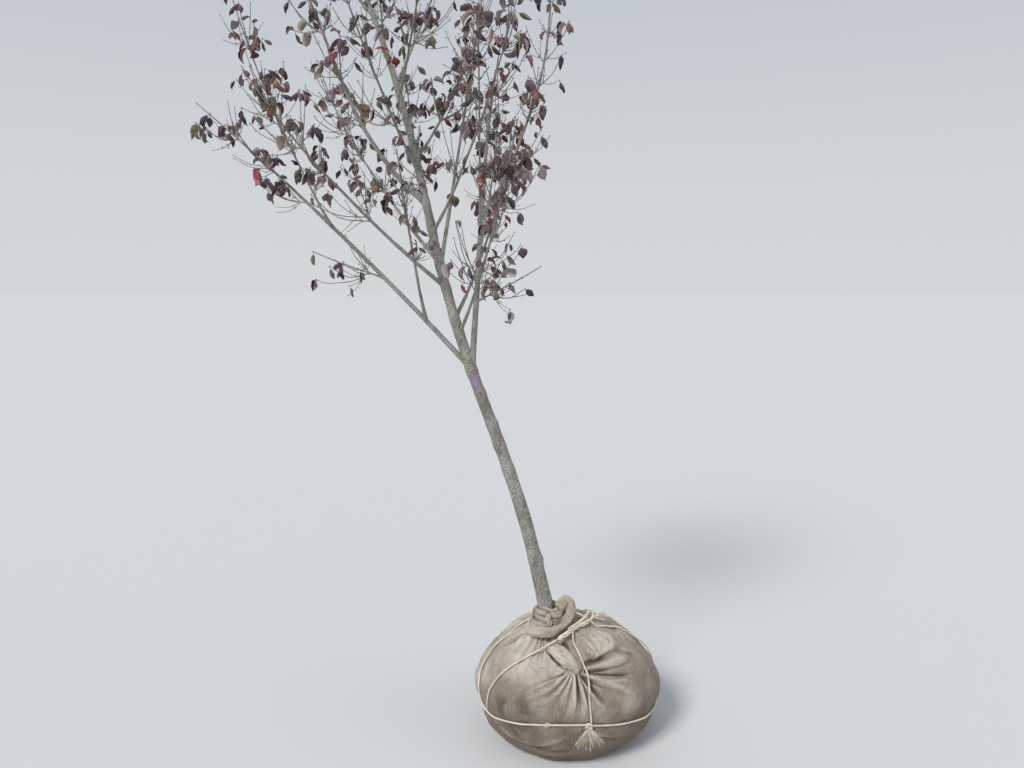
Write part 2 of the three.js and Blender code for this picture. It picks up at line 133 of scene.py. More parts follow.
def unitRows(rows):
    return rows / np.linalg.norm(rows, axis=1)[:, None]


def crossOf(first, second, least, instead):
    # the direction square to both, or another one where they nearly agree
    side = np.cross(first, second)
    return unit(side) if np.linalg.norm(side) > least else instead


def randomFrom(seed):
    state = (seed * 7919 + 104729) % 2147483647

    def draw():
        nonlocal state
        state = state * 48271 % 2147483647
        return state / 2147483647

    return draw


def directionOf(heading, lean):
    turn, tilt = math.radians(heading), math.radians(lean)
    return np.array((math.sin(tilt) * math.cos(turn), math.sin(tilt) * math.sin(turn), math.cos(tilt)))


def grow(start, direction, length, bend, steps):
    points = [np.array(start, float)]
    heading = unit(np.array(direction, float))
    for i in range(steps):
        if i > 0:
            heading = unit(heading + np.array(bend) / steps)
        points.append(points[i] + heading * length / steps)
    return np.array(points)


def pointAlong(path, share):
    place = share * (len(path) - 1)
    i = min(int(place), len(path) - 2)
    return path[i] + (path[i + 1] - path[i]) * (place - i)


def shootLength(path):
    return np.linalg.norm(np.diff(path, axis=0), axis=1).sum()


def lengthsAlong(path):
    return np.r_[0, np.cumsum(np.linalg.norm(np.diff(path, axis=0), axis=1))]


def directionAlong(path, share):
    i = min(int(share * (len(path) - 1)), len(path) - 2)
    return unit(path[i + 1] - path[i])


def turnedAbout(vector, axis, angle):
    cosine, sine = math.cos(angle), math.sin(angle)
    return vector * cosine + np.cross(axis, vector) * sine + axis * (axis @ vector) * (1 - cosine)


def taper(start, end, share):
    return start + (end - start) * share


def smoothPath(corners, pieces):
    # a soft curve through the corners, with even steps between each two of them
    corners = np.array(corners, float)
    ends = [2 * corners[0] - corners[1], *corners, 2 * corners[-1] - corners[-2]]
    points = []
    for before, start, end, after in zip(ends, ends[1:], ends[2:], ends[3:]):
        for t in np.arange(pieces) / pieces:
            points.append(0.5 * (
                2 * start + (end - before) * t
                + (2 * before - 5 * start + 4 * end - after) * t ** 2
                + (3 * start - before - 3 * end + after) * t ** 3
            ))
    return np.array([*points, corners[-1]])


def growTrunk():
    points = [np.array(trunk["foot"], float)]
    for i in range(trunk["steps"]):
        share = (i + 0.5) / trunk["steps"]
        wave = math.cos(2 * math.pi * trunk["waves"] * (share - trunk["early"]))
        heading = directionOf(180, trunk["lean"] - trunk["sway"] * wave)
        points.append(points[i] + heading * trunk["length"] / trunk["steps"])
    return np.array(points)


def trunkRadius(share):
    flare = trunk["flare"] * np.exp(-share / trunk["flareShare"])
    return taper(trunk["footRadius"], trunk["tipRadius"], share) + flare


def bareTo(corner, whole, radii, mass):
    # a limb is bare up to a corner of its whole path, and the rest belongs to its foliage
    return {
        "whole": whole, "path": whole[:corner + 1], "leafy": whole[corner:], "mass": mass,
        "radii": (radii[0], taper(*radii, corner / (len(whole) - 1))),
    }


trunkEnds = (trunk["footRadius"], trunk["tipRadius"])
grown = {"trunk": bareTo(trunk["bareSteps"], growTrunk(), trunkEnds, trunk["mass"])}
for name, row in limbs.items():
    limb = dict(zip(limbColumns, row))
    start = pointAlong(grown[limb["parent"]]["whole"], limb["at"])
    steps = max(2, int(limb["length"] / limbStep + 0.5))
    direction = directionOf(limb["heading"], limb["lean"])
    whole = grow(start, direction, limb["length"], (0, 0, limb["lift"]), steps)
    carries = any(other[0] == name for other in limbs.values())
    corner = steps if carries else max(1, int(bareShare * steps + 0.5))
    grown[name] = bareTo(corner, whole, limb["radii"], limb["mass"])

crown = []
for seed, limb in enumerate(grown.values(), 1):
    length, reach, lift, drift = limb["mass"]
    onward = grow(limb["whole"][-1], directionAlong(limb["whole"], 1), length, (drift, 0, lift), stemSteps)
    stem = np.concatenate([limb["leafy"][:-1], onward])
    crown.append({
        "seed": seed, "reach": reach, "stem": stem, "radii": (limb["radii"][1] * 0.92, stemTipRadius),
        "pairs": max(1, int(shootLength(stem) / twigSpacing + 0.5)),
    })

stemStarts = np.concatenate([mass["stem"][:-1] for mass in crown])
stemEnds = np.concatenate([mass["stem"][1:] for mass in crown])
stemFirst = np.cumsum([0, *[len(mass["stem"]) - 1 for mass in crown]])[:-1]
limbStarts = np.concatenate([limb["path"][:-1] for limb in grown.values()])
limbEnds = np.concatenate([limb["path"][1:] for limb in grown.values()])
limbReach = np.concatenate([
    np.linspace(*limb["radii"], len(limb["path"]))[:-1] + clearance["limb"] for limb in grown.values()
])


def distancesTo(points, starts, ends):
    span = ends - starts
    apart = points[:, None] - starts[None]
    share = np.clip((apart * span).sum(2) / (span * span).sum(1), 0, 1)
    return np.linalg.norm(apart - share[..., None] * span, axis=2)


def isFree(points, mass):
    # in the mass's own space, nearer to its stem than to any other, and clear of every limb
    points = np.atleast_2d(points)
    toStems = np.minimum.reduceat(distancesTo(points, stemStarts, stemEnds), stemFirst, axis=1)
    own = toStems[:, mass["seed"] - 1].copy()
    toStems[:, mass["seed"] - 1] = 1e9
    clear = (distancesTo(points, limbStarts, limbEnds) > limbReach).all(1)
    return (toStems.min(1) > own + clearance["stem"]) & clear


sourceTwigs = {"angle": 42, "lift": 0.7}     # the pairs that the solids have too
uprightTwigs = {"angle": 33, "lift": 1.5}
finerTwigs = {"angle": 40, "lift": 0.9}

pairSpread = {"first": 0.1, "last": 0.8, "uneven": 0.05, "turn": 0.6, "angle": 16, "thinner": 0.66}


def pairsOn(parent, radii, mass, random, pairs, reach, rule, thickness):
    # opposite pairs of shoots, each pair turned a quarter from the last
    shoots = []
    for pair in range(pairs):
        share = pairSpread["first"] + pairSpread["last"] * pair / pairs + pairSpread["uneven"] * random()
        start = pointAlong(parent, share)
        along = directionAlong(parent, share)
        side = crossOf(backward, along, 0.05, rightward)
        for half in (0, 1):
            turn = math.pi * (pair / 2 + half) + pairSpread["turn"] * (random() - 0.5)
            length = reach * (1 - 0.5 * share) * (0.75 + 0.5 * random())
            angle = math.radians(rule["angle"] + pairSpread["angle"] * (random() - 0.5))
            outward = turnedAbout(side, along, turn)
            direction = along * math.cos(angle) + outward * math.sin(angle)
            path = grow(start, direction, length, (0, 0, rule["lift"]), 2)
            free = isFree(path[1:], mass)
            if not free[0]:
                continue
            kept = path if free[1] else path[:2]
            radius = min(thickness, pairSpread["thinner"] * taper(*radii, share))
            shoots.append({"path": smoothPath(kept, 3), "radius": radius})
    return shoots


print("the limbs and", len(crown), "masses are laid out")


def selectOnly(*objects):
    bpy.ops.object.select_all(action="DESELECT")
    for obj in objects:
        obj.select_set(True)
    if objects:
        bpy.context.view_layer.objects.active = objects[0]


def readPoints(obj):
    points = np.empty(len(obj.data.vertices) * 3)
    obj.data.vertices.foreach_get("co", points)
    return points.reshape(-1, 3)


def movePoints(obj, points):
    obj.data.vertices.foreach_set("co", points.astype(np.float32).ravel())
    obj.data.update()


def stretchPattern(obj, across, along, warp=None):
    # the UV map counts threads, so that a weave keeps its size from piece to piece
    layer = obj.data.uv_layers[0].data
    places = np.empty(len(layer) * 2)
    layer.foreach_get("uv", places)
    places = places.reshape(-1, 2)
    if warp:
        places[:, 0] = warp(places[:, 0])
    layer.foreach_set("uv", (places * (across, along)).astype(np.float32).ravel())


def addSheet(name, across, along):
    selectOnly()
    bpy.ops.mesh.primitive_grid_add(x_subdivisions=across, y_subdivisions=along, size=2)
    sheet = bpy.context.object
    sheet.name = name
    return sheet, (readPoints(sheet)[:, :2] + 1) / 2


def closeUp(endsOpen):
    # closes the seams and open ends of the active mesh, and turns its normals outwards
    bpy.ops.object.mode_set(mode="EDIT")
    bpy.ops.mesh.select_all(action="SELECT")
    bpy.ops.mesh.remove_doubles(threshold=1e-5)
    if endsOpen:
        bpy.ops.mesh.fill_holes(sides=0)
    bpy.ops.mesh.select_all(action="SELECT")
    bpy.ops.mesh.normals_make_consistent(inside=False)
    bpy.ops.object.mode_set(mode="OBJECT")
    bpy.ops.object.shade_smooth()


def framesAlong(path, level=False):
    tangents = unitRows(np.gradient(path, axis=0))
    side = upward if level or abs(tangents[0] @ upward) < 0.9 else backward
    sides = []
    for tangent in tangents:
        side = upward if level else side
        side = unit(side - tangent * (side @ tangent))
        sides.append(side)
    return np.array(sides), np.cross(tangents, sides)


def rollTube(name, path, radii, sides, form=None, closed=False, pattern=None):
    # a flat sheet is rolled up round the path
    rings = len(path) - 1
    tube, flat = addSheet(name, sides, rings)
    ring = np.rint(flat[:, 1] * rings).astype(int)
    turn = 2 * np.pi * flat[:, 0]
    radius = np.broadcast_to(radii, len(path))[ring]
    if form:
        radius = radius * form(ring / rings, turn)
    side, front = framesAlong(path, level=closed)
    if closed:
        side[-1], front[-1] = side[0], front[0]
    rim = side[ring] * np.cos(turn)[:, None] + front[ring] * np.sin(turn)[:, None]
    movePoints(tube, (path[ring] + rim * radius[:, None]) / 1000)
    if pattern:
        stretchPattern(tube, *pattern)
    closeUp(endsOpen=not closed)
    return tube


def joinAs(name, objects):
    selectOnly(*objects)
    bpy.ops.object.join()
    joined = bpy.context.object
    joined.name = name
    joined.data.name = name
    return joined


def roughen(obj, label, size, strength):
    # relief from soft noise, applied to the mesh
    selectOnly(obj)
    texture = bpy.data.textures.new(label, "CLOUDS")
    texture.noise_scale = size / 1000
    texture.noise_depth = 2
    relief = obj.modifiers.new(label, "DISPLACE")
    relief.texture = texture
    relief.texture_coords = "LOCAL"
    relief.strength = strength / 1000
    bpy.ops.object.modifier_apply(modifier=label)


def paintFoldShading(obj, amounts):
    # how far each point lies in a fold or on it, which sets the cloth's painted shade in the creases and
    # its painted highlight on the folds
    foldShadeAndHighlight = obj.data.attributes.new("foldShadeAndHighlight", "FLOAT", "POINT")
    foldShadeAndHighlight.data.foreach_set("value", amounts.astype(np.float32))


def finishPiece(obj, material, nodes):
    obj.data.materials.clear()
    obj.data.materials.append(material)
    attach(obj, "root")
    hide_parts(*nodes)


def addPiece(name, blocks, material, nodes):
    # many small shapes in one mesh: each block holds points, quads and UV places
    points, faces, places = zip(*blocks)
    firsts = np.cumsum([0, *map(len, points)])
    points, places = np.concatenate(points), np.concatenate(places)
    faces = np.concatenate([quads + first for quads, first in zip(faces, firsts)])
    mesh = bpy.data.meshes.new(name)
    mesh.from_pydata((points / 1000).tolist(), [], faces.tolist())
    layer = mesh.uv_layers.new(name="UVMap")
    layer.data.foreach_set("uv", places[faces.ravel()].astype(np.float32).ravel())
    mesh.shade_smooth()
    obj = bpy.data.objects.new(name, mesh)
    bpy.context.collection.objects.link(obj)
    finishPiece(obj, material, nodes)


def shootBlock(path, radii, sides):
    # a bare shoot as points, quads and places
    side, front = framesAlong(path)
    turns = np.arange(sides) * 2 * np.pi / sides
    rim = side[:, None] * np.cos(turns)[None, :, None] + front[:, None] * np.sin(turns)[None, :, None]
    points = (path[:, None] + rim * np.array(radii)[:, None, None]).reshape(-1, 3)
    ring = np.arange(len(path) - 1)[:, None] * sides
    column = np.arange(sides)[None]
    after = (column + 1) % sides
    faces = np.stack([ring + column, ring + after, ring + sides + after, ring + sides + column], axis=2)
    places = np.stack(np.meshgrid(np.arange(sides) / sides, lengthsAlong(path) / 20), axis=2)
    return points, faces.reshape(-1, 4), places.reshape(-1, 2)


class NodeBench:
    # adds nodes to the tree of one material, world or node group

    def __init__(self, tree):
        self.tree = tree

    def add(self, kind, settings=None, inputs=None):
        node = self.tree.nodes.new("ShaderNode" + kind)
        for key, value in (settings or {}).items():
            setattr(node, key, value)
        for key, value in (inputs or {}).items():
            if isinstance(value, bpy.types.NodeSocket):
                self.tree.links.new(value, node.inputs[key])
            else:
                node.inputs[key].default_value = value
        return node.outputs

    def mix(self, factor, first, second, blend="MIX"):
        settings = {"data_type": "RGBA", "blend_type": blend}
        return self.add("Mix", settings, {0: factor, 6: first, 7: second})[2]

    def mapped(self, value, low, high, start=0.0, end=1.0, soft=True):
        settings = {"interpolation_type": "SMOOTHSTEP" if soft else "LINEAR"}
        inputs = {"Value": value, "From Min": low, "From Max": high, "To Min": start, "To Max": end}
        return self.add("MapRange", settings, inputs)["Result"]

    def maths(self, operation, first, second=0.0):
        return self.add("Math", {"operation": operation}, {0: first, 1: second})[0]

    def times(self, first, second):
        return self.maths("MULTIPLY", first, second)

    def plus(self, first, second):
        return self.maths("ADD", first, second)

    def minus(self, first, second):
        return self.maths("SUBTRACT", first, second)

    def farFrom(self, value, middle):
        return self.maths("ABSOLUTE", self.minus(value, middle))

    def part(self, vector, axis):
        return self.add("SeparateXYZ", None, {0: vector})[axis]

    def stretched(self, vector, scale):
        return self.add("Mapping", None, {"Vector": vector, "Scale": scale})["Vector"]

    def cloud(self, place, scale, detail, **others):
        inputs = {"Vector": place, "Scale": scale, "Detail": detail, **others}
        return self.add("TexNoise", None, inputs)["Fac"]

    def group(self, name, **inputs):
        return self.add("Group", {"node_tree": bpy.data.node_groups[name]}, inputs)

    def spots(self, place, scale, size):
        return self.group("scatteredSpots", Place=place, Scale=scale, Size=size)["Mask"]

    def mottle(self, place, scale, detail):
        return self.group("softMottle", Place=place, Scale=scale, Detail=detail)["Amount"]


def newGroup(name, inputs, outputs):
    group = bpy.data.node_groups.new(name, "ShaderNodeTree")
    for way, labels in (("INPUT", inputs), ("OUTPUT", outputs)):
        for label in labels:
            kind = "NodeSocketVector" if label in ("Place", "Threads") else "NodeSocketFloat"
            group.interface.new_socket(label, in_out=way, socket_type=kind)
    source = group.nodes.new("NodeGroupInput").outputs
    result = group.nodes.new("NodeGroupOutput").inputs
    return group.links, NodeBench(group), source, result


def makeSpots():
    # small scattered spots, such as lenticels, dirt and leaf freckles
    links, bench, source, result = newGroup("scatteredSpots", ("Place", "Scale", "Size"), ("Mask",))
    cells = bench.add("TexVoronoi", {"feature": "F1"}, {
        "Vector": source["Place"], "Scale": source["Scale"], "Randomness": 1.0,
    })
    ragged = bench.cloud(source["Place"], bench.times(source["Scale"], 1.7), 2)
    far = bench.plus(cells["Distance"], bench.times(ragged, 0.35))
    outer = bench.plus(source["Size"], 0.12)
    links.new(bench.mapped(far, source["Size"], outer, 1, 0, soft=False), result["Mask"])


def makeMottle():
    # soft uneven patches with finer ones in them
    links, bench, source, result = newGroup("softMottle", ("Place", "Scale", "Detail"), ("Amount",))
    cloud = bench.cloud(source["Place"], source["Scale"], source["Detail"], Roughness=0.6)
    links.new(bench.mapped(cloud, 0.32, 0.68), result["Amount"])


def makeWeave():
    # plain weave counted in threads: which thread is on top, its round back, and its slubs
    links, bench, source, result = newGroup("plainWeave", ("Threads",), ("Height", "Shade"))
    threads = source["Threads"]
    backs = []
    for axis in ("X", "Y"):
        turn = bench.times(bench.part(threads, axis), math.pi)
        backs.append(bench.maths("ABSOLUTE", bench.maths("SINE", turn)))
    over = bench.add("TexChecker", None, {
        "Vector": threads, "Scale": 1.0, "Color1": (0, 0, 0, 1), "Color2": (1, 1, 1, 1),
    })["Fac"]
    height = bench.add("Mix", {"data_type": "FLOAT"}, {0: over, 2: backs[0], 3: backs[1]})[0]
    stretches = ((0.9, 0.05, 1), (0.05, 0.9, 1))
    slubs = [bench.cloud(bench.stretched(threads, stretch), 1, 2) for stretch in stretches]
    links.new(height, result["Height"])
    links.new(bench.mapped(bench.plus(*slubs), 0.75, 1.25, soft=False), result["Shade"])


def makeWrinkles():
    # a crumpled surface: sharp creases where two layers of soft noise cross their middle
    links, bench, source, result = newGroup("crumpledCloth", ("Place", "Scale"), ("Height",))
    layers = []
    for finer, narrow in ((1.0, 0.09), (2.3, 0.12)):
        scale = bench.times(source["Scale"], finer)
        cloud = bench.cloud(source["Place"], scale, 1.5, Roughness=0.45, Distortion=0.7)
        layers.append(bench.mapped(bench.farFrom(cloud, 0.5), 0, narrow, soft=False))
    total = bench.plus(layers[0], bench.times(layers[1], 0.4))
    links.new(bench.maths("DIVIDE", total, 1.4), result["Height"])


makeSpots()
makeMottle()
makeWeave()
makeWrinkles()


def startMaterial(name, roughness):
    material = bpy.data.materials.new(name)
    material.use_nodes = True
    bench = NodeBench(material.node_tree)
    shader = material.node_tree.nodes["Principled BSDF"].inputs
    shader["Roughness"].default_value = roughness
    shader["Specular IOR Level"].default_value = 0.25
    return material, bench, shader, bench.add("TexCoord")


def wireUp(bench, shader, tone, height, depth):
    bench.tree.links.new(tone, shader["Base Color"])
    bump = bench.add("Bump", None, {"Height": height, "Strength": 0.8, "Distance": depth})
    bench.tree.links.new(bump["Normal"], shader["Normal"])


def painted(finish):
    return {name: paint(*tone) for name, tone in finish.items()}


barkFinish = {
    "grey": (136, 134, 126), "brown": (108, 104, 96), "pale": (184, 183, 177), "dark": (58, 55, 52),
}
twigFinish = {
    "grey": (142, 132, 128), "brown": (108, 94, 90), "pale": (182, 172, 166), "dark": (68, 56, 54),
}
smear = {"tone": (142, 114, 158), "height": 1.36, "strength": 0.7}     # a violet mark below the fork


def makeBark(name, fine, young=None, marked=False):
    # young: the tones that a shoot has where it is some way out from its foot
    material, bench, shader, places = startMaterial(name, 0.86)
    place = places["Object"]
    tones = painted(barkFinish)
    if young:
        outward = bench.mapped(bench.part(places["UV"], "Y"), 2, 17)
        tones = {key: bench.mix(outward, tones[key], tone) for key, tone in painted(young).items()}
    drawn = bench.stretched(place, (1, 1, 0.45))
    streaks = bench.mottle(drawn, 34 * fine, 4)
    patches = bench.mottle(place, 6, 3)
    grain = bench.mottle(place, 110 * fine, 3)
    pale = bench.spots(drawn, 105 * fine, 0.3)
    dark = bench.spots(place, 88 * fine, 0.26)
    tone = bench.mix(streaks, tones["brown"], tones["grey"])
    tone = bench.mix(bench.times(patches, 0.3), tone, tones["pale"])
    tone = bench.mix(bench.mapped(grain, 0.5, 0, 0, 0.5), tone, tones["dark"])
    tone = bench.mix(bench.times(dark, 0.34), tone, tones["dark"])
    # the flecks thin out up the tree
    height = bench.part(place, "Z")
    flecks = bench.times(pale, bench.mapped(height, 0.5, 1.6, 0.85, 0.3))
    tone = bench.mix(flecks, tone, tones["pale"])
    if marked:
        worn = bench.plus(bench.farFrom(height, smear["height"]), bench.times(streaks, 0.02))
        band = bench.mapped(worn, 0.012, 0.04, smear["strength"], 0)
        band = bench.times(band, bench.mapped(grain, 0, 0.8, 0.45, 1))
        tone = bench.mix(band, tone, paint(*smear["tone"]))
    relief = bench.minus(bench.plus(bench.times(grain, 0.6), pale), bench.times(dark, 0.5))
    wireUp(bench, shader, tone, relief, 0.0014 / fine)
    return material


# the darkest tone serves the soil stain and the painted shade in the creases, and the palest is the
# painted highlight on the folds
burlapFinish = {
    "pale": (208, 198, 183), "tan": (168, 150, 130), "deepTone": (106, 89, 75), "stainAndShade": (64, 52, 43),
    "grey": (144, 132, 119), "foldHighlight": (240, 229, 212),
}
soilStain = (-0.22, -0.24, 0.19)


def makeBurlap():
    material, bench, shader, places = startMaterial("burlapCloth", 0.95)
    shader["Sheen Weight"].default_value = 0.15
    place = places["Object"]
    tones = painted(burlapFinish)
    blotch = bench.mottle(place, 17, 5)
    tone = bench.mix(bench.mottle(place, 5, 4), tones["tan"], tones["pale"])
    # painted shade: the cloth turns greyer and darker towards the right side, away from the key light
    tone = bench.mix(bench.mapped(bench.part(place, "X"), 0.02, 0.3, 0, 0.55), tone, tones["grey"])
    # darker towards the ground, then a patch of soil and crumbs of it
    ragged = bench.plus(bench.part(place, "Z"), bench.times(blotch, 0.09))
    tone = bench.mix(bench.mapped(ragged, 0.16, 0.42, 0.8, 0), tone, tones["deepTone"])
    away = bench.add("VectorMath", {"operation": "DISTANCE"}, {0: place, 1: soilStain})["Value"]
    patch = bench.times(bench.mapped(away, 0.03, 0.17, 0.8, 0), bench.mapped(blotch, 0.1, 0.8))
    tone = bench.mix(patch, tone, tones["stainAndShade"])
    tone = bench.mix(bench.times(bench.spots(place, 60, 0.16), 0.5), tone, tones["stainAndShade"])
    # painted shade in the creases and painted highlight on the folds
    fold = bench.add("Attribute", {"attribute_name": "foldShadeAndHighlight"})["Fac"]
    tone = bench.mix(bench.mapped(fold, -0.1, -0.9, 0, 0.7), tone, tones["stainAndShade"])
    tone = bench.mix(bench.mapped(fold, 0.25, 1, 0, 0.45), tone, tones["foldHighlight"])
    # threads of uneven tone, with dark gaps between them
    weave = bench.group("plainWeave", Threads=places["UV"])
    level = bench.mapped(weave["Shade"], 0, 1, 0.72, 1.16, soft=False)
    shade = bench.add("CombineColor", None, {0: level, 1: level, 2: level})[0]
    tone = bench.mix(1.0, tone, shade, "MULTIPLY")
    tone = bench.mix(bench.mapped(weave["Height"], 0.1, 0.5, 0.3, 0), tone, tones["stainAndShade"])
    wrinkles = bench.group("crumpledCloth", Place=place, Scale=15)["Height"]
    # painted shade along the sharp creases of the crumpled cloth
    tone = bench.mix(bench.mapped(wrinkles, 0.35, 0, 0, 0.3), tone, tones["stainAndShade"])
    height = bench.plus(weave["Height"], bench.times(weave["Shade"], 1.2))
    wireUp(bench, shader, tone, bench.plus(height, bench.times(wrinkles, 2.6)), 0.0012)
    return material


twineFinish = {"pale": (238, 231, 213), "tan": (214, 200, 177), "deepTone": (150, 135, 113)}


def makeTwine():
    material, bench, shader, places = startMaterial("paleTwine", 0.9)
    tones = painted(twineFinish)
    strand = bench.mottle(bench.stretched(places["UV"], (9, 0.6, 1)), 1.5, 3)
    tone = bench.mix(strand, tones["tan"], tones["pale"])
    dirt = bench.mottle(places["Object"], 22, 3)
    tone = bench.mix(bench.times(dirt, 0.35), tone, tones["deepTone"])
    wireUp(bench, shader, tone, strand, 0.0006)
    return material


def makeLeaf(name, face, back):
    # one autumn tint: freckled and unevenly dried, with a midrib and side veins, and paler behind
    material, bench, shader, places = startMaterial(name, 0.62)
    upper, darker, under = paint(*face), paint(*(0.58 * tone for tone in face)), paint(*back)
    tone = bench.mix(bench.mottle(places["Object"], 26, 4), darker, upper)
    tone = bench.mix(bench.times(bench.spots(places["Object"], 240, 0.2), 0.5), tone, darker)
    across = bench.farFrom(bench.part(places["UV"], "Y"), 0.5)
    slant = bench.minus(bench.part(places["UV"], "X"), bench.times(across, 0.9))
    ribs = bench.maths("SINE", bench.times(slant, 38))
    veins = bench.plus(bench.times(ribs, 0.25), bench.mapped(across, 0, 0.08, 1, 0))
    tone = bench.mix(bench.mapped(across, 0, 0.05, 0.35, 0), tone, under)
    tone = bench.mix(bench.add("NewGeometry")["Backfacing"], tone, under)
    wireUp(bench, shader, tone, veins, 0.0008)
    return material


bark = makeBark("speckledBark", 1, marked=True)
boughBark = makeBark("boughBark", 1.6)
twigBark = makeBark("twigBark", 2.5, young=twigFinish)
burlap = makeBurlap()
twine = makeTwine()
print("the finishes are mixed")


trunkScars = [
    # share of the way up, heading, and height of the scar's rim
    (0.1, -70, 3), (0.17, -130, 2.5), (0.235, -40, 4), (0.3, -115, 3.5), (0.345, -75, 3), (0.27, 80, 3),
]


def trunkForm(share, turn):
    # shallow flutes at the foot, and the healed scars of twigs that were cut off
    share = share * trunk["bareSteps"] / trunk["steps"]
    flute = 0.05 * np.cos(5 * turn + 1) * np.exp(-share / 0.03)
    total = 1 + (flute + 0.012 * np.sin(3 * turn + 40 * share))
    for at, heading, tall in trunkScars:
        around = (turn - math.radians(heading % 360) + np.pi) % (2 * np.pi) - np.pi
        away = np.hypot(around / 0.42, (share - at) / 0.0055)
        total = total + tall / 24 * (np.exp(-(away ** 2)) - 0.5 * np.exp(-((away / 0.35) ** 2)))
        total = total + tall / 60 * np.exp(-(((share - at) / 0.008) ** 2))
    return total


trunkPath = smoothPath(grown["trunk"]["path"], 26)
trunkShares = np.linspace(0, trunk["bareSteps"] / trunk["steps"], len(trunkPath))
joints = [row[1] for row in limbs.values() if row[0] == "trunk"]
swelling = sum(0.09 * np.exp(-(((trunkShares - at) / 0.009) ** 2)) for at in joints)
trunkPiece = rollTube("trunkBark", trunkPath, trunkRadius(trunkShares) * (1 + swelling), 40, trunkForm)
roughen(trunkPiece, "trunkLumps", 60, 2.4)
roughen(trunkPiece, "trunkGrain", 7, 1.1)
finishPiece(trunkPiece, bark, ["trunk"])

boughPieces = []
for name in limbs:
    limb = grown[name]
    path = smoothPath(limb["path"], 14)
    shares = np.linspace(0, 1, len(path))
    along = shares * shootLength(path)
    radii = taper(*limb["radii"], shares) * (1 + 0.5 * np.exp(-along / 22))
    boughPieces.append(rollTube("bough", path, radii, 14))
boughPiece = joinAs("boughBark", boughPieces)
roughen(boughPiece, "boughLumps", 22, 1.4)
roughen(boughPiece, "boughGrain", 5, 0.6)
finishPiece(boughPiece, boughBark, [name for name in nodeNames if name.startswith("bough_")])
print("the trunk and boughs have their bark")


fineGrowth = {
    "stemTip": 1.6,        # radius at a stem's tip
    "twig": 2.2,           # radius at a twig's foot
    "twigTip": 1.15,
    "onward": 62,          # a twig runs on past where the solids' leaf is fused to it
    "uprightPairs": 2.9,   # more pairs for each half metre of stem
    "uprightReach": 1.35,
    "finerPairs": 1,       # pairs on every long twig
    "finerReach": 0.5,     # of the twig's length
    "finerTwig": 1.5,
    "finerTip": 0.95,
    "spurSpacing": 64,
}


def runOn(twig, mass, random):
    # the fine end of a twig, a little more upright
    path = twig["path"]
    length = fineGrowth["onward"] * (0.75 + 0.5 * random())
    onward = grow(path[-1], unit(path[-1] - path[-2]), length, (0, 0, 0.8), 3)[1:]
    if isFree(onward, mass).all():
        twig["path"] = np.concatenate([path, onward])


def growMass(mass):
    stem = {"path": smoothPath(mass["stem"], 5), "order": 0}
    stem.update(radius=mass["radii"][0], tip=fineGrowth["stemTip"])
    twigs = pairsOn(
        mass["stem"], mass["radii"], mass, randomFrom(mass["seed"]), mass["pairs"], mass["reach"],
        sourceTwigs, fineGrowth["twig"],
    )
    random = randomFrom(mass["seed"] + 100)
    for twig in twigs:
        runOn(twig, mass, random)
    more = round(fineGrowth["uprightPairs"] * shootLength(mass["stem"]) / 500)
    twigs += pairsOn(
        stem["path"], mass["radii"], mass, random, more, mass["reach"] * fineGrowth["uprightReach"],
        uprightTwigs, fineGrowth["twig"],
    )
    shoots = [stem]
    for twig in twigs:
        twig.update(tip=fineGrowth["twigTip"], order=1)
        shoots.append(twig)
        length = shootLength(twig["path"])
        if length < 70:
            continue
        radii = (2.2 * twig["radius"], 2.2 * twig["tip"])
        finer = pairsOn(
            twig["path"], radii, mass, random, fineGrowth["finerPairs"], length * fineGrowth["finerReach"],
            finerTwigs, fineGrowth["finerTwig"],
        )
        for shoot in finer:
            shoot.update(tip=fineGrowth["finerTip"], order=2)
        shoots += finer
    return shoots


def spursOn(shoot, random):
    # short spurs in opposite pairs, each with the bud that it ends in
    length = shootLength(shoot["path"])
    blocks = []
    for number, at in enumerate(np.arange(24, length - 12, fineGrowth["spurSpacing"])):
        root, along = pointAlong(shoot["path"], at / length), directionAlong(shoot["path"], at / length)
        across = np.cross(along, (0.31, 0.95, 0.05))
        across = turnedAbout(unit(across), along, math.pi / 2 * number + 0.5 * random())
        for side in (-1, 1):
            if random() < 0.35:
                continue
            tip = root + unit(along + across * side * 1.1) * (3 + 9 * random() ** 2)
            spur = shootBlock(np.array([root, tip]), (1.2, 0.8), 4)
            blocks.append((spur, budBlock(tip, unit(tip - root), 1.25 + 0.5 * random())))
    return blocks


leafForm = {"rows": 6, "columns": 4, "length": 44, "width": 33, "petiole": 9, "shapes": 14}


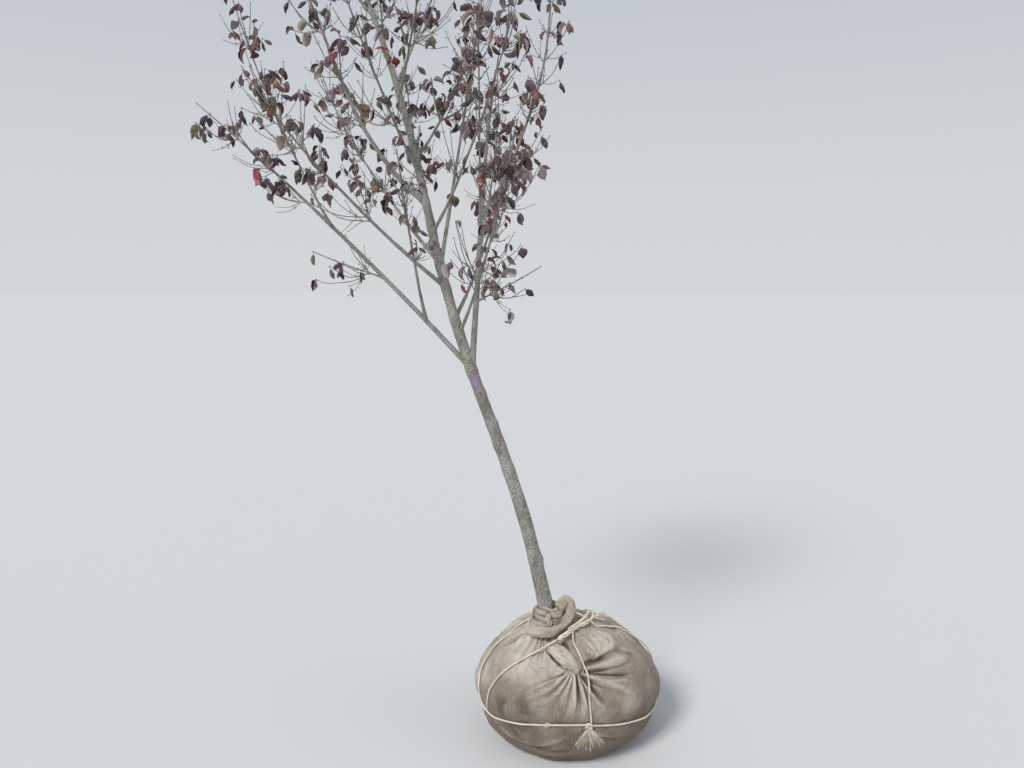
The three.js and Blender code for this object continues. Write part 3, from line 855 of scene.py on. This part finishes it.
def makeLeafShape(random):
    # a pointed oval blade, curled under along its length and cupped across it
    rows, columns = leafForm["rows"], leafForm["columns"]
    curl = 1.0 + 2.4 * random()
    cup = (1.0 + 1.8 * random()) * (1 if random() < 0.75 else -1)
    twist = 1.8 * (random() - 0.5)
    ripple, phase = 1.5 + 2 * random(), 6 * random()
    share = np.linspace(0, 1, rows + 1)
    angle = curl * share ** 1.2
    step = leafForm["length"] / rows
    forward, down = (np.r_[0, np.cumsum(wave(angle[1:]) * step)] for wave in (np.cos, np.sin))
    outline = share ** 0.5 * (1 - share) ** 0.75
    half = leafForm["width"] / 2 * (outline / outline.max() * 0.98 + 0.02)
    share, angle, forward, down, half = (row[:, None] for row in (share, angle, forward, down, half))
    across = np.linspace(-1, 1, columns + 1)[None]
    level = half * np.sin(cup * across) / cup
    dip = half * (1 - np.cos(cup * across)) / cup
    turned = twist * share
    y = level * np.cos(turned) + dip * np.sin(turned)
    z = -dip * np.cos(turned) + level * np.sin(turned)
    z = z + ripple * across ** 2 * np.sin(7 * share + phase + 2 * across)
    x = leafForm["petiole"] + forward + z * np.sin(angle)
    points = np.stack([x, y, -down + z * np.cos(angle) - 2], axis=2).reshape(-1, 3)
    places = np.stack(np.broadcast_arrays(share, (across + 1) / 2), axis=2).reshape(-1, 2)
    corner = (np.arange(rows)[:, None] * (columns + 1) + np.arange(columns)).ravel()
    faces = np.stack([corner, corner + columns + 1, corner + columns + 2, corner + 1], axis=1)
    stalk = np.array([(-1, 0, 0), (leafForm["petiole"] * 0.6, 0, 0.5), (leafForm["petiole"] + 2, 0, -2)])
    stalkPoints, stalkFaces, stalkPlaces = shootBlock(stalk, (0.8, 0.6, 0.5), 3)
    stalkPlaces = stalkPlaces * 0 + (0.02, 0.5)
    return (
        np.concatenate([points, stalkPoints]),
        np.concatenate([faces, stalkFaces + len(points)]),
        np.concatenate([places, stalkPlaces]),
    )


leafTints = {
    # name: share of the sprays, upper face, underside
    "leavesPlum": (0.25, (100, 76, 82), (134, 116, 118)),
    "leavesMauve": (0.21, (124, 108, 114), (156, 143, 145)),
    "leavesBrown": (0.19, (108, 88, 80), (138, 123, 113)),
    "leavesRusset": (0.12, (126, 92, 82), (150, 127, 116)),
    "leavesCrimson": (0.04, (136, 62, 70), (152, 104, 106)),
    "leavesUmber": (0.13, (74, 62, 63), (108, 95, 94)),
    "leavesOlive": (0.06, (112, 107, 82), (138, 133, 112)),
}

leafing = {
    "spacing": (96, 52, 52),      # between the nodes of a stem, a twig and a finer twig
    "first": (60, 34, 34),
    "bare": (0.8, 0.92, 0.92),    # share of the nodes that have lost their leaves
    "tipBare": 0.4,               # less of those at the tip
    "clustered": 0.4,             # share of the nodes with two pairs
    "fallen": 0.2,                # share of the single leaves
}


def leavesOn(shoot, mass, random):
    # leaves hang in opposite pairs and small clusters, and many have fallen
    length = shootLength(shoot["path"])
    spacing, first, bare = (leafing[key][shoot["order"]] for key in ("spacing", "first", "bare"))
    nodes = [1 - 3 / max(length, 30), *(np.arange(first, length - 18, spacing) / length)]
    spots = []
    for number, share in enumerate(nodes):
        if random() < bare - leafing["tipBare"] * (number == 0):
            continue
        root = pointAlong(shoot["path"], share)
        along = directionAlong(shoot["path"], share)
        across = crossOf(along, upward, 0.03, rightward)
        quarter = math.pi / 2 * (number % 2) + 0.9 * (random() - 0.5)
        for leaf in range(4 if random() < leafing["clustered"] else 2):
            if random() < leafing["fallen"]:
                continue
            turn = quarter + math.pi * leaf + (math.pi / 2 if leaf > 1 else 0)
            out = turnedAbout(across, along, turn) + along * (0.3 + 0.5 * share)
            out[2] -= 0.45 + 1.1 * random()
            out = unit(out)
            side = turnedAbout(crossOf(out, upward, 0.03, across), out, 1.8 * (random() - 0.5))
            size = 0.78 + 0.45 * random()
            reach = leafForm["length"] * size
            middle = root + out * reach * 0.42
            tip = root + out * reach * 0.8 - upward * reach * 0.4
            edges = [middle + side * leafForm["width"] * size * half for half in (-0.4, 0.4)]
            shape = int(random() * leafForm["shapes"])
            if isFree(np.array([middle, tip, *edges]), mass).all():
                spots.append((shape, root, out, side, size))
    return spots


def budBlock(tip, along, size):
    # a small plump bud with a blunt point
    shares, widths = (-0.2, 0.1, 0.45, 0.8, 1.0), (0.4, 0.85, 1.0, 0.5, 0.05)
    path = np.array([tip + along * share * size * 2.4 for share in shares])
    return shootBlock(path, np.array(widths) * size, 5)


def tintFor(random):
    draw, total = random(), 0
    for name, (share, _, _) in leafTints.items():
        total += share
        if draw < total:
            return name
    return "leavesPlum"


shapeRandom = randomFrom(77)
leafShapes = [makeLeafShape(shapeRandom) for _ in range(leafForm["shapes"])]
shootBlocks, budBlocks, leafSpots = [], [], {name: [] for name in leafTints}
for mass in crown:
    random = randomFrom(mass["seed"] + 500)
    for shoot in growMass(mass):
        path = shoot["path"]
        if shoot["order"] == 0:
            path = np.concatenate([[path[0] - unit(path[1] - path[0]) * 6], path])
        radii = np.linspace(shoot["radius"], shoot["tip"], len(path))
        shootBlocks.append(shootBlock(path, radii, 7 if shoot["order"] == 0 else 5))
        budSize = (2.0, 1.9, 1.7)[shoot["order"]] * (0.85 + 0.5 * random())
        budBlocks.append(budBlock(path[-1], unit(path[-1] - path[-2]), budSize))
        for spur, bud in spursOn(shoot, random):
            shootBlocks.append(spur)
            budBlocks.append(bud)
        leafSpots[tintFor(random)].extend(leavesOn(shoot, mass, random))

foliageNodes = [name for name in nodeNames if name.startswith("foliage_")]
addPiece("twigs", shootBlocks, twigBark, foliageNodes)
budTone = (134, 112, 104)
addPiece("buds", budBlocks, makeLeaf("budScales", budTone, budTone), foliageNodes)
for name, (_, upper, under) in leafTints.items():
    blocks = []
    for shape, root, out, side, size in leafSpots[name]:
        points, faces, places = leafShapes[shape]
        face = np.cross(side, out)
        basis = np.array([out, np.cross(face, out), face])
        blocks.append((root + points * size @ basis, faces, places))
    addPiece(name, blocks, makeLeaf(name + "Paint", upper, under), foliageNodes)
print("the crown has", sum(map(len, leafSpots.values())), "leaves on", len(shootBlocks), "shoots")


ball = {
    "halfWidth": 346, "halfDepth": 300, "above": 258, "below": 253, "middle": 205,
    "dome": 1.65, "base": 2.5,     # powers that round the upper and the lower half
    "columns": 440, "rows": 216, "threads": (960, 470), "finerFront": 0.42, "fullCrease": 12,
}
ballMiddle = ball["middle"] * upward

girdle = {"height": 132, "rise": 53, "riseAt": -92, "knotTurn": -78.75, "lift": 3.4, "bridge": 6}

runs = {
    # degrees round and up from the ball's middle, at the points that each run of twine passes
    "twine_front": ((-86, 58), (-80, 45), (-77, 29), (-78, 11), (-77, -6)),
    "twine_front_left": ((-106, 57), (-126, 43), (-143, 24), (-151, 8), (-154, -3), (-156, -13)),
    "twine_left": ((190, 64), (176, 58), (-180, 36), (-174, 16), (-166, 0), (-159, -13)),
    "twine_back_left": ((172, 72), (142, 60), (137, 24), (132, -14)),
    "twine_back": ((166, 79), (108, 74), (86, 60), (76, 26), (66, -15)),
    "twine_right": ((-34, 66), (-7, 52), (6, 20), (12, -13)),
}

pleats = [
    # degrees round and up at the start, middle and end, then height and width of the fold
    ((-91, 33), (-107, 20), (-130, 5), 12, 7),
    ((-124, 57), (-156, 45), (-169, 24), 9, 5),
    ((-89, 32), (-111, 22), (-137, 3), 12, 5),
    ((-81, 32), (-52, 26), (-22, 17), 10, 5),
    ((-80, 38), (-50, 38), (-19, 38), -10, 6),
    ((-82, 30), (-61, 21), (-40, 7), 9, 5),
    ((-89.5, 32), (-103, 16), (-119, 5), 11, 6),
    ((-88, 32), (-95, 17), (-103, 3), 10, 6),
    ((-87, 32), (-90, 13), (-95, -3), 9, 6),
    ((-86, 32), (-86, 13), (-88, -3), -11, 6),
    ((-85, 32), (-82, 13), (-82, -4), 10, 6),
    ((-84, 32), (-79, 14), (-76, -3), -10, 6),
    ((-83, 31), (-71, 14), (-60, 0), -18, 7),
    ((-82, 31), (-63, 20), (-44, 11), 13, 7),
    ((-82, 32), (-56, 26), (-32, 16), -15, 8),
    ((-80, 36), (-51, 37), (-14, 35), -18, 10),
    ((-80, 33), (-50, 31), (-22, 27), 12, 6),
    ((-66, 50), (-61, 42), (-74, 36), 10, 5),
    ((-66, 40), (-46, 42), (-22, 41), 8, 5),
    ((-70, 27), (-50, 22), (-20, 20), -8, 6),
    ((-74, 47), (-66, 44), (-62, 36), 10, 7),
    ((-64, 56), (-58, 48), (-60, 39), -9, 8),
    ((-50, 58), (-49, 49), (-53, 40), -10, 8),
    ((-30, 50), (-38, 44), (-52, 40), 8, 8),
    ((-38, 60), (-32, 52), (-24, 44), 8, 9),
    ((-16, 49), (-12, 41), (-18, 33), 10, 8),
    ((-34, 40), (-22, 30), (-14, 16), 8, 10),
    ((-137, 56), (-155, 42), (-168, 22), 11, 8),
    ((-150, 54), (-166, 38), (-174, 20), -11, 8),
    ((-172, 54), (-177, 38), (-170, 18), 10, 9),
    ((-116, 46), (-101, 38), (-87, 32), -18, 9),
    ((-152, -12), (-119, -21), (-84, -6), 8, 8),
    ((-84, -6), (-64, -14), (-34, -22), 8, 8),
    ((-122, -24), (-100, -26), (-74, -20), -7, 9),
    ((166, 54), (164, 34), (156, 8), 12, 11),
    ((146, 56), (147, 30), (152, -4), -10, 10),
    ((128, 56), (124, 30), (130, 2), -12, 11),
    ((100, 58), (104, 34), (98, 8), 13, 12),
    ((84, 56), (76, 30), (80, 6), -11, 11),
    ((60, 56), (52, 30), (56, 0), 12, 11),
    ((30, 56), (26, 36), (14, 12), -12, 10),
    ((2, 54), (-6, 34), (-2, 8), 11, 10),
    ((20, -8), (60, -20), (100, -12), 7, 9),
    ((100, -10), (140, -22), (178, -12), 7, 9),
]

dents = [
    # degrees round and up, height and width of a bulge or hollow
    (-45, 46, 20, 58),     # the pillow on the right shoulder
    (-97, 52, -26, 18),    # the hole under the plait
    (-99, 41, -15, 13),    # the dark gap under the roll
    (-92, 36, -12, 11),
    (-141, 68, 20, 62),    # the cloth pulled up under the collar
    (-140, 28, 8, 90),
    (-48, 6, 8, 80),
    (-100, -18, 6, 60),
    (40, 24, 9, 80),
    (120, 20, 10, 90),
    (-176, 4, 8, 80),
]

gathers = {"middle": (-76, -62), "edge": 78, "run": 58, "count": 19, "depth": 5}


def ballDirections(rounds, ups):
    turn, tall = np.radians(rounds), np.radians(ups)
    return np.stack([np.cos(tall) * np.cos(turn), np.cos(tall) * np.sin(turn), np.sin(tall)], axis=-1)


def ballReach(direction):
    across = np.hypot(direction[:, 0] / ball["halfWidth"], direction[:, 1] / ball["halfDepth"])
    tall = np.abs(direction[:, 2]) / np.where(direction[:, 2] > 0, ball["above"], ball["below"])
    power = np.where(direction[:, 2] > 0, ball["dome"], ball["base"])
    turn = np.arctan2(direction[:, 1], direction[:, 0])
    level = np.hypot(direction[:, 0], direction[:, 1])
    bulge = 0.012 * np.sin(3 * turn + 0.8) + 0.009 * np.sin(5 * turn + 2.1) * (1 + direction[:, 2])
    return (across ** power + tall ** power) ** (-1 / power) * (1 + bulge * level)


def plainBall(directions):
    return directions * ballReach(directions)[:, None]


def wayDirections(points, pieces):
    curve = smoothPath(points, pieces)
    return ballDirections(curve[:, 0], curve[:, 1])


def girdleDirections(steps):
    turn = np.radians(girdle["knotTurn"]) + np.linspace(0, 2 * np.pi, steps + 1)
    near = np.maximum(0, np.cos(turn - math.radians(girdle["riseAt"])))
    height = girdle["height"] + girdle["rise"] * near ** 3 - ball["middle"]
    return unitRows(np.stack([np.cos(turn), np.sin(turn), height / ball["halfWidth"]], axis=1))


def pleatRelief(points, line, height, width):
    # a fold that leans over: one side slopes, the other drops into a crease, and it widens to its end
    starts, ends = line[:-1], line[1:]
    close = np.linalg.norm(points[:, None] - line[::4][None], axis=2).min(1) < 90
    relief = np.zeros(len(points))
    apart = distancesTo(points[close], starts, ends)
    nearest = apart.argmin(1)
    sideways = np.cross(ends - starts, starts)[nearest]
    side = np.sign(((points[close] - starts[nearest]) * sideways).sum(1))
    share = nearest / (len(starts) - 1)
    away = side * apart.min(1) / (width * (0.6 + 0.9 * share))
    slope = np.where(away < 0, np.exp(-((away / 1.9) ** 2)), np.exp(-((away / 0.8) ** 2)))
    crease = 0.8 * np.exp(-(((away - 1.5) / 0.75) ** 2))
    fade = np.clip(1.35 - 1.35 * share, 0, 1) * np.clip(share * 7 + 0.2, 0, 1)
    relief[close] = height * (slope - crease) * fade
    return relief


def foldRelief(base):
    # millimetres of the sewn and pulled folds alone
    relief = np.zeros(len(base))
    for *way, height, width in pleats:
        relief += pleatRelief(base, plainBall(wayDirections(way, 7)), height, width)
    for turn, tall, height, width in dents:
        centre = plainBall(ballDirections(np.array([turn]), np.array([tall])))
        away = np.linalg.norm(base - centre, axis=1) / width
        relief += height * np.exp(-(away ** 2))
    # gathers that run out from the collar
    out = base[:, :2] - gathers["middle"]
    turn, away = np.arctan2(out[:, 1], out[:, 0]), np.hypot(out[:, 0], out[:, 1])
    ring = np.exp(-(((away - gathers["edge"]) / gathers["run"]) ** 2)) * (base[:, 2] > 0)
    waves = np.sin(gathers["count"] * turn + 2.2 * np.sin(3 * turn)) + 0.5 * np.sin(41 * turn + 1)
    return relief + gathers["depth"] * ring * waves


def ballRelief(directions):
    # millimetres of folds, dents and crumples at each direction
    base = plainBall(directions)
    relief = foldRelief(base)
    for size, height in ((95, 5), (36, 3), (13, 1.2)):
        relief += np.array([height * noise.noise(Vector(p) / size) for p in base])
    # twine presses into the cloth: its way, then depth and width of a narrow and of a wide groove
    grooves = [(girdleDirections(96), 4, 9, 6, 30)]
    grooves += [(wayDirections(points, 4), 3, 8, 2.5, 26) for points in runs.values()]
    for way, deep, narrow, shallow, wide in grooves:
        line = plainBall(way)
        near = distancesTo(base, line[:-1], line[1:]).min(1)
        relief -= deep * np.exp(-((near / narrow) ** 2)) + shallow * np.exp(-((near / wide) ** 2))
    return relief


def onBall(directions, lift=0.0):
    # points on the finished cloth, and flat where it stands on the ground
    reach = ballReach(directions) + ballRelief(directions) + lift
    down = -directions[:, 2]
    toFloor = np.where(down > 0.01, ball["middle"] / np.maximum(down, 0.01), 1e9)
    return ballMiddle + directions * np.minimum(reach, toFloor)[:, None]


def tautOnBall(directions):
    # twine under tension bridges the small hollows of the cloth
    out = onBall(directions, girdle["lift"]) - ballMiddle
    reach = np.linalg.norm(out, axis=1)
    for ease in (np.max, np.mean):
        padded = np.pad(reach, girdle["bridge"], mode="edge")
        windows = np.lib.stride_tricks.sliding_window_view(padded, 2 * girdle["bridge"] + 1)
        reach = ease(windows, axis=1)
    return ballMiddle + unitRows(out) * reach[:, None]


def frontWarp(share):
    # crowds the columns of the sheet towards the front, where the folds are finest
    turn = 2 * np.pi * share
    return share - ball["finerFront"] * np.sin(turn - np.pi) / (2 * np.pi)


# a flat sheet is wrapped round the ball from its foot to its top
ballPiece, flat = addSheet("burlapBall", ball["columns"], ball["rows"])
rounds = 360 * frontWarp(flat[:, 0]) + 90
movePoints(ballPiece, onBall(ballDirections(rounds, 180 * flat[:, 1] - 90)) / 1000)
stretchPattern(ballPiece, *ball["threads"], frontWarp)
closeUp(endsOpen=False)
# the fold relief sets the painted shade in the creases and the painted highlight on the folds
folds = foldRelief(plainBall(unitRows(readPoints(ballPiece) * 1000 - ballMiddle)))
paintFoldShading(ballPiece, np.clip(folds / ball["fullCrease"], -1, 1))
finishPiece(ballPiece, burlap, ["root_ball"])
print("the ball is wrapped")


collarFolds = [
    # path or ring, radii along it, ridges round it, how often they wind, and how deep they are
    {"ring": (-72, -58, 450, 50), "radii": (22, 25, 21, 24), "ridges": 5, "wind": 2, "depth": 0.1},
    {"ring": (-69, -58, 467, 49), "radii": (12, 13, 11, 12, 12), "ridges": 2, "wind": 3, "depth": 0.1},
    {"ring": (-68, -57, 484, 50), "radii": (11, 12, 10, 12), "ridges": 2, "wind": -2, "depth": 0.12},
    {"ring": (-68, -57, 501, 47), "radii": (11, 10, 12, 11), "ridges": 3, "wind": 2, "depth": 0.12},
    {"ring": (-70, -58, 512, 33), "radii": (8, 9, 7, 8), "ridges": 3, "wind": 4, "depth": 0.15},
    # the thick twist that rises into an ear on the right
    {"path": (
        (-34, -66, 466), (-30, -62, 496), (-24, -60, 522), (-10, -59, 537), (5, -60, 530), (8, -68, 506),
        (-2, -84, 484), (-24, -107, 468), (-46, -127, 459), (-69, -139, 454), (-102, -139, 453),
        (-134, -122, 447), (-150, -96, 440)),
     "radii": (16, 18, 20, 19, 19, 18, 17, 18, 18, 18, 19, 19, 16), "ridges": 3, "wind": 3, "depth": 0.09},
    # the thin loop on the left
    {"path": (
        (-134, -70, 434), (-131, -62, 472), (-126, -60, 497), (-115, -58, 513), (-99, -54, 521),
        (-86, -40, 514)),
     "radii": (6, 6, 6, 7, 6, 5), "ridges": 2, "wind": 1, "depth": 0.15},
    # the pinched middle of the front folds
    {"path": ((-78, -108, 512), (-75, -122, 496), (-72, -125, 480), (-70, -126, 462)),
     "radii": (7, 9, 9, 8), "ridges": 3, "wind": 2, "depth": 0.2},
    {"path": ((-64, -116, 472), (-46, -117, 474), (-30, -106, 478)),
     "radii": (7, 9, 7), "ridges": 2, "wind": 1, "depth": 0.2},
]

rollFold = {
    "path": (
        (-84, -142, 410), (-58, -170, 401), (-29, -194, 390), (0, -213, 374), (18, -224, 358),
        (28, -227, 346)),
    "radii": (15, 22, 25, 24, 19, 13), "ridges": 3, "wind": 1.5, "depth": 0.15,
}

threadSpacing = 2.2     # of the weave in the collar and the roll


def ringPath(x, y, z, radius):
    turn = np.linspace(0, 2 * np.pi, 7)
    around = (x + radius * np.cos(turn), y + radius * np.sin(turn), z + 5 * np.sin(2 * turn))
    return smoothPath(np.stack(around, axis=1), 24)


def foldLine(fold):
    # the middle line of a fold and its radius along it
    closed = "ring" in fold
    path = ringPath(*fold["ring"]) if closed else smoothPath(fold["path"], 18)
    path = np.r_[path[:-1], path[:1]] if closed else path
    radii = list(fold["radii"]) + list(fold["radii"][:1]) * closed
    return path, np.interp(np.linspace(0, 1, len(path)), np.linspace(0, 1, len(radii)), radii)


def paintCreviceShade(piece, folds, deep):
    # painted shade: the cloth is darkened where it comes near to another fold, in the crevice where shade
    # falls
    points = readPoints(piece) * 1000
    gaps = []
    for fold in folds:
        path, radii = (line[::4] for line in foldLine(fold))
        gaps.append((distancesTo(points, path[:-1], path[1:]) - radii[:-1]).min(1))
    nextFold = np.maximum(np.sort(gaps, axis=0)[1], 0)
    paintFoldShading(piece, -np.exp(-nextFold / deep))


def clothFold(fold, name, sides=40):
    closed = "ring" in fold
    path, radii = foldLine(fold)

    def form(share, turn):
        wound = fold["ridges"] * turn - 2 * np.pi * fold["wind"] * share
        fine = 0.35 * np.sin((3 * fold["ridges"] + 1) * turn + 2 * np.pi * 3 * share)
        total = 1 + fold["depth"] * (np.sin(wound) + fine)
        if not closed:
            total = total * np.clip(np.minimum(share, 1 - share) * 14, 0.02, 1) ** 0.5
        return total

    threads = (radii.mean() * 6.28 / threadSpacing, shootLength(path) / threadSpacing)
    return rollTube(name, path, radii, sides, form, closed, threads)


collarPiece = joinAs("burlapCollar", [clothFold(fold, "collarFold") for fold in collarFolds])
roughen(collarPiece, "collarCrumple", 16, 3.5)
# painted shade in the crevices between the collar's folds
paintCreviceShade(collarPiece, collarFolds, 3.5)
finishPiece(collarPiece, burlap, ["burlap_collar"])
rollPiece = clothFold(rollFold, "burlapRoll", 48)
roughen(rollPiece, "rollCrumple", 24, 5)
finishPiece(rollPiece, burlap, ["burlap_roll"])
print("the collar is gathered")


twineForm = {"strands": 2, "ply": 2.0, "apart": 1.75, "pitch": 16, "step": 2.6, "sides": 6}


def evenSteps(path, step):
    along = lengthsAlong(path)
    places = np.linspace(0, along[-1], max(4, int(along[-1] / step)))
    return np.stack([np.interp(places, along, path[:, i]) for i in range(3)], axis=1), places


def twistedTwine(path, **changes):
    # plies wound round each other along the path
    twist = {**twineForm, **changes}
    path, places = evenSteps(path, twist["step"])
    side, front = framesAlong(path)
    near = np.clip(np.minimum(places, places[-1] - places) / (4 * twist["apart"]), 0, 1)[:, None] ** 0.5
    blocks = []
    for strand in range(twist["strands"]):
        turn = (places * 2 * np.pi / twist["pitch"] + strand * 2 * np.pi / twist["strands"])[:, None]
        wound = path + twist["apart"] * near * (side * np.cos(turn) + front * np.sin(turn))
        blocks.append(shootBlock(wound, twist["ply"] * (0.4 + 0.6 * near[:, 0]), twist["sides"]))
    return blocks


cutEnds = {
    # number, length and spread of the loose fibres, and the seed of their draws
    "plaitRight": (70, 66, 0.5, 31),
    "plaitTop": (36, 40, 0.7, 32),
    "knot": (130, 78, 1.15, 33),
    "stub": (40, 26, 0.4, 34),
}


def fray(name, place, direction, lift):
    # loose fibres that fan out from a cut end
    count, length, spread, seed = cutEnds[name]
    random = randomFrom(seed)
    side = unit(np.cross(direction, lift))
    blocks = []
    for _ in range(count):
        start = place + 3 * np.array((random() - 0.5, random() - 0.5, random() - 0.5))
        aim = unit(direction + side * spread * (random() - 0.5) * 2 + lift * 0.5 * (random() - 0.35))
        bend = 0.5 * side * (random() - 0.5) + 0.5 * lift * (random() - 0.7)
        path = grow(start, aim, length * (0.45 + 0.6 * random()), bend, 4)
        blocks.append(shootBlock(path, (0.8, 0.8, 0.75, 0.65, 0.4), 3))
    return blocks


plait = {
    "path": ((-46, -170, 440), (-12, -143, 447), (33, -93, 453), (62, -72, 454), (86, -38, 455)),
    "twist": {"strands": 4, "apart": 5.4, "ply": 3.2, "pitch": 118, "sides": 8},
    "bight": (
        (62, -66, 458), (86, -44, 458), (95, -36, 470), (88, -34, 492), (76, -38, 482), (62, -52, 468),
        (36, -86, 464), (-6, -128, 458)),
    "bightTwist": {"apart": 2.2, "ply": 2.8, "pitch": 22},
    "strand": ((12, -68, 502), (30, -64, 491), (44, -60, 484), (60, -54, 472), (74, -46, 462)),
}

# these runs leave the plait and come down to the cloth at a step of their way
fromPlait = {
    "twine_front_left": ((-46, -170, 440), (-74, -180, 428), 46),
    "twine_front": ((16, -112, 450), (12, -130, 440), 10),
    "twine_right": ((80, -46, 456), (92, -56, 448), 14),
}

for name, points in runs.items():
    # the degrees of twine_left pass from 176 to -180
    points = [(turn % 360, up) for turn, up in points] if name == "twine_left" else points
    path = tautOnBall(wayDirections(points, 40))
    if name in fromPlait:
        *corners, joinAt = fromPlait[name]
        path = np.concatenate([smoothPath([*corners, path[joinAt]], 8)[:-1], path[joinAt:]])
    addPiece(name.replace("_", "-"), twistedTwine(path), twine, [name])

girdlePath = tautOnBall(girdleDirections(420))
addPiece("twine-girdle", twistedTwine(girdlePath), twine, ["twine_girdle"])

plaitBlocks = twistedTwine(smoothPath(plait["path"], 12), **plait["twist"])
plaitBlocks += twistedTwine(smoothPath(plait["bight"], 8), **plait["bightTwist"])
plaitBlocks += twistedTwine(smoothPath(plait["strand"], 8))
plaitBlocks += fray("plaitRight", np.array((90, -34, 460)), unit(np.array((1, 0, 0.16))), upward)
plaitBlocks += fray("plaitTop", np.array((76, -30, 462)), unit(np.array((-0.3, 0, 0.9))), upward)
addPiece("twine-plait", plaitBlocks, twine, ["twine_bundle"])

# a knot of three loops on the girdle, with the brush of its cut end and a short stub
knotPlace = girdlePath[0]
knotOut = unit(knotPlace - ballMiddle)
knotSide = unit(np.cross(upward, knotOut))
knotDown = np.cross(knotSide, knotOut)
turn = np.linspace(0, 2 * np.pi, 60)[:, None]
knotPath = knotPlace + knotOut * 4 + 3.6 * (
    knotSide * (np.sin(turn) + 2 * np.sin(2 * turn)) * 1.3
    + knotDown * (np.cos(turn) - 2 * np.cos(2 * turn)) * 0.9
    - knotOut * np.sin(3 * turn) * 1.2
)
knotBlocks = twistedTwine(knotPath)
brushPlace = knotPlace + knotDown * 6 + knotOut * 4
knotBlocks += fray("knot", brushPlace, unit(knotDown + knotOut * 0.25), knotOut)
stub = girdlePath[-30:] + (knotOut + upward) * 5
knotBlocks += twistedTwine(stub)
knotBlocks += fray("stub", stub[0], unit(stub[0] - stub[4]), knotOut)
addPiece("twine-knot", knotBlocks, twine, ["knot_girdle"])
print("the twine is tied")


studio = {"floorTone": (198, 198, 197), "horizon": (0.65, 0.674, 0.692), "overhead": (0.5, 0.54, 0.6)}

selectOnly()
bpy.ops.mesh.primitive_plane_add(size=160, location=(0, 0, -0.0005))
floor = bpy.context.object
floor.name = "studioFloor"
bpy.ops.object.transform_apply(location=True, rotation=True, scale=True)
floorPaint, _, shader, _ = startMaterial("floorPaint", 0.9)
shader["Base Color"].default_value = paint(*studio["floorTone"])
floor.data.materials.append(floorPaint)

world = bpy.data.worlds.new("paleSky")
bpy.context.scene.world = world
world.use_nodes = True
sky = NodeBench(world.node_tree)
height = sky.part(sky.add("TexCoord")["Generated"], "Z")
skyTone = sky.mix(sky.mapped(height, 0, 0.5), (*studio["horizon"], 1), (*studio["overhead"], 1))
world.node_tree.links.new(skyTone, world.node_tree.nodes["Background"].inputs["Color"])

lamps = {
    # place, point looked at, strength and softness in degrees
    "keyLight": ((-3.4, -4.4, 6.0), (0, 0, 0.9), 2.8, 18),
    "fillLight": ((5.4, -1.4, 3.2), (0, 0, 1.2), 0.55, 40),
}
for name, (place, target, power, softness) in lamps.items():
    aim = (Vector(target) - Vector(place)).to_track_quat("-Z", "Y").to_euler()
    bpy.ops.object.light_add(type="SUN", location=place, rotation=aim)
    lamp = bpy.context.object
    lamp.name = name
    lamp.data.energy = power
    lamp.data.angle = math.radians(softness)

bpy.context.scene.view_settings.view_transform = "Standard"
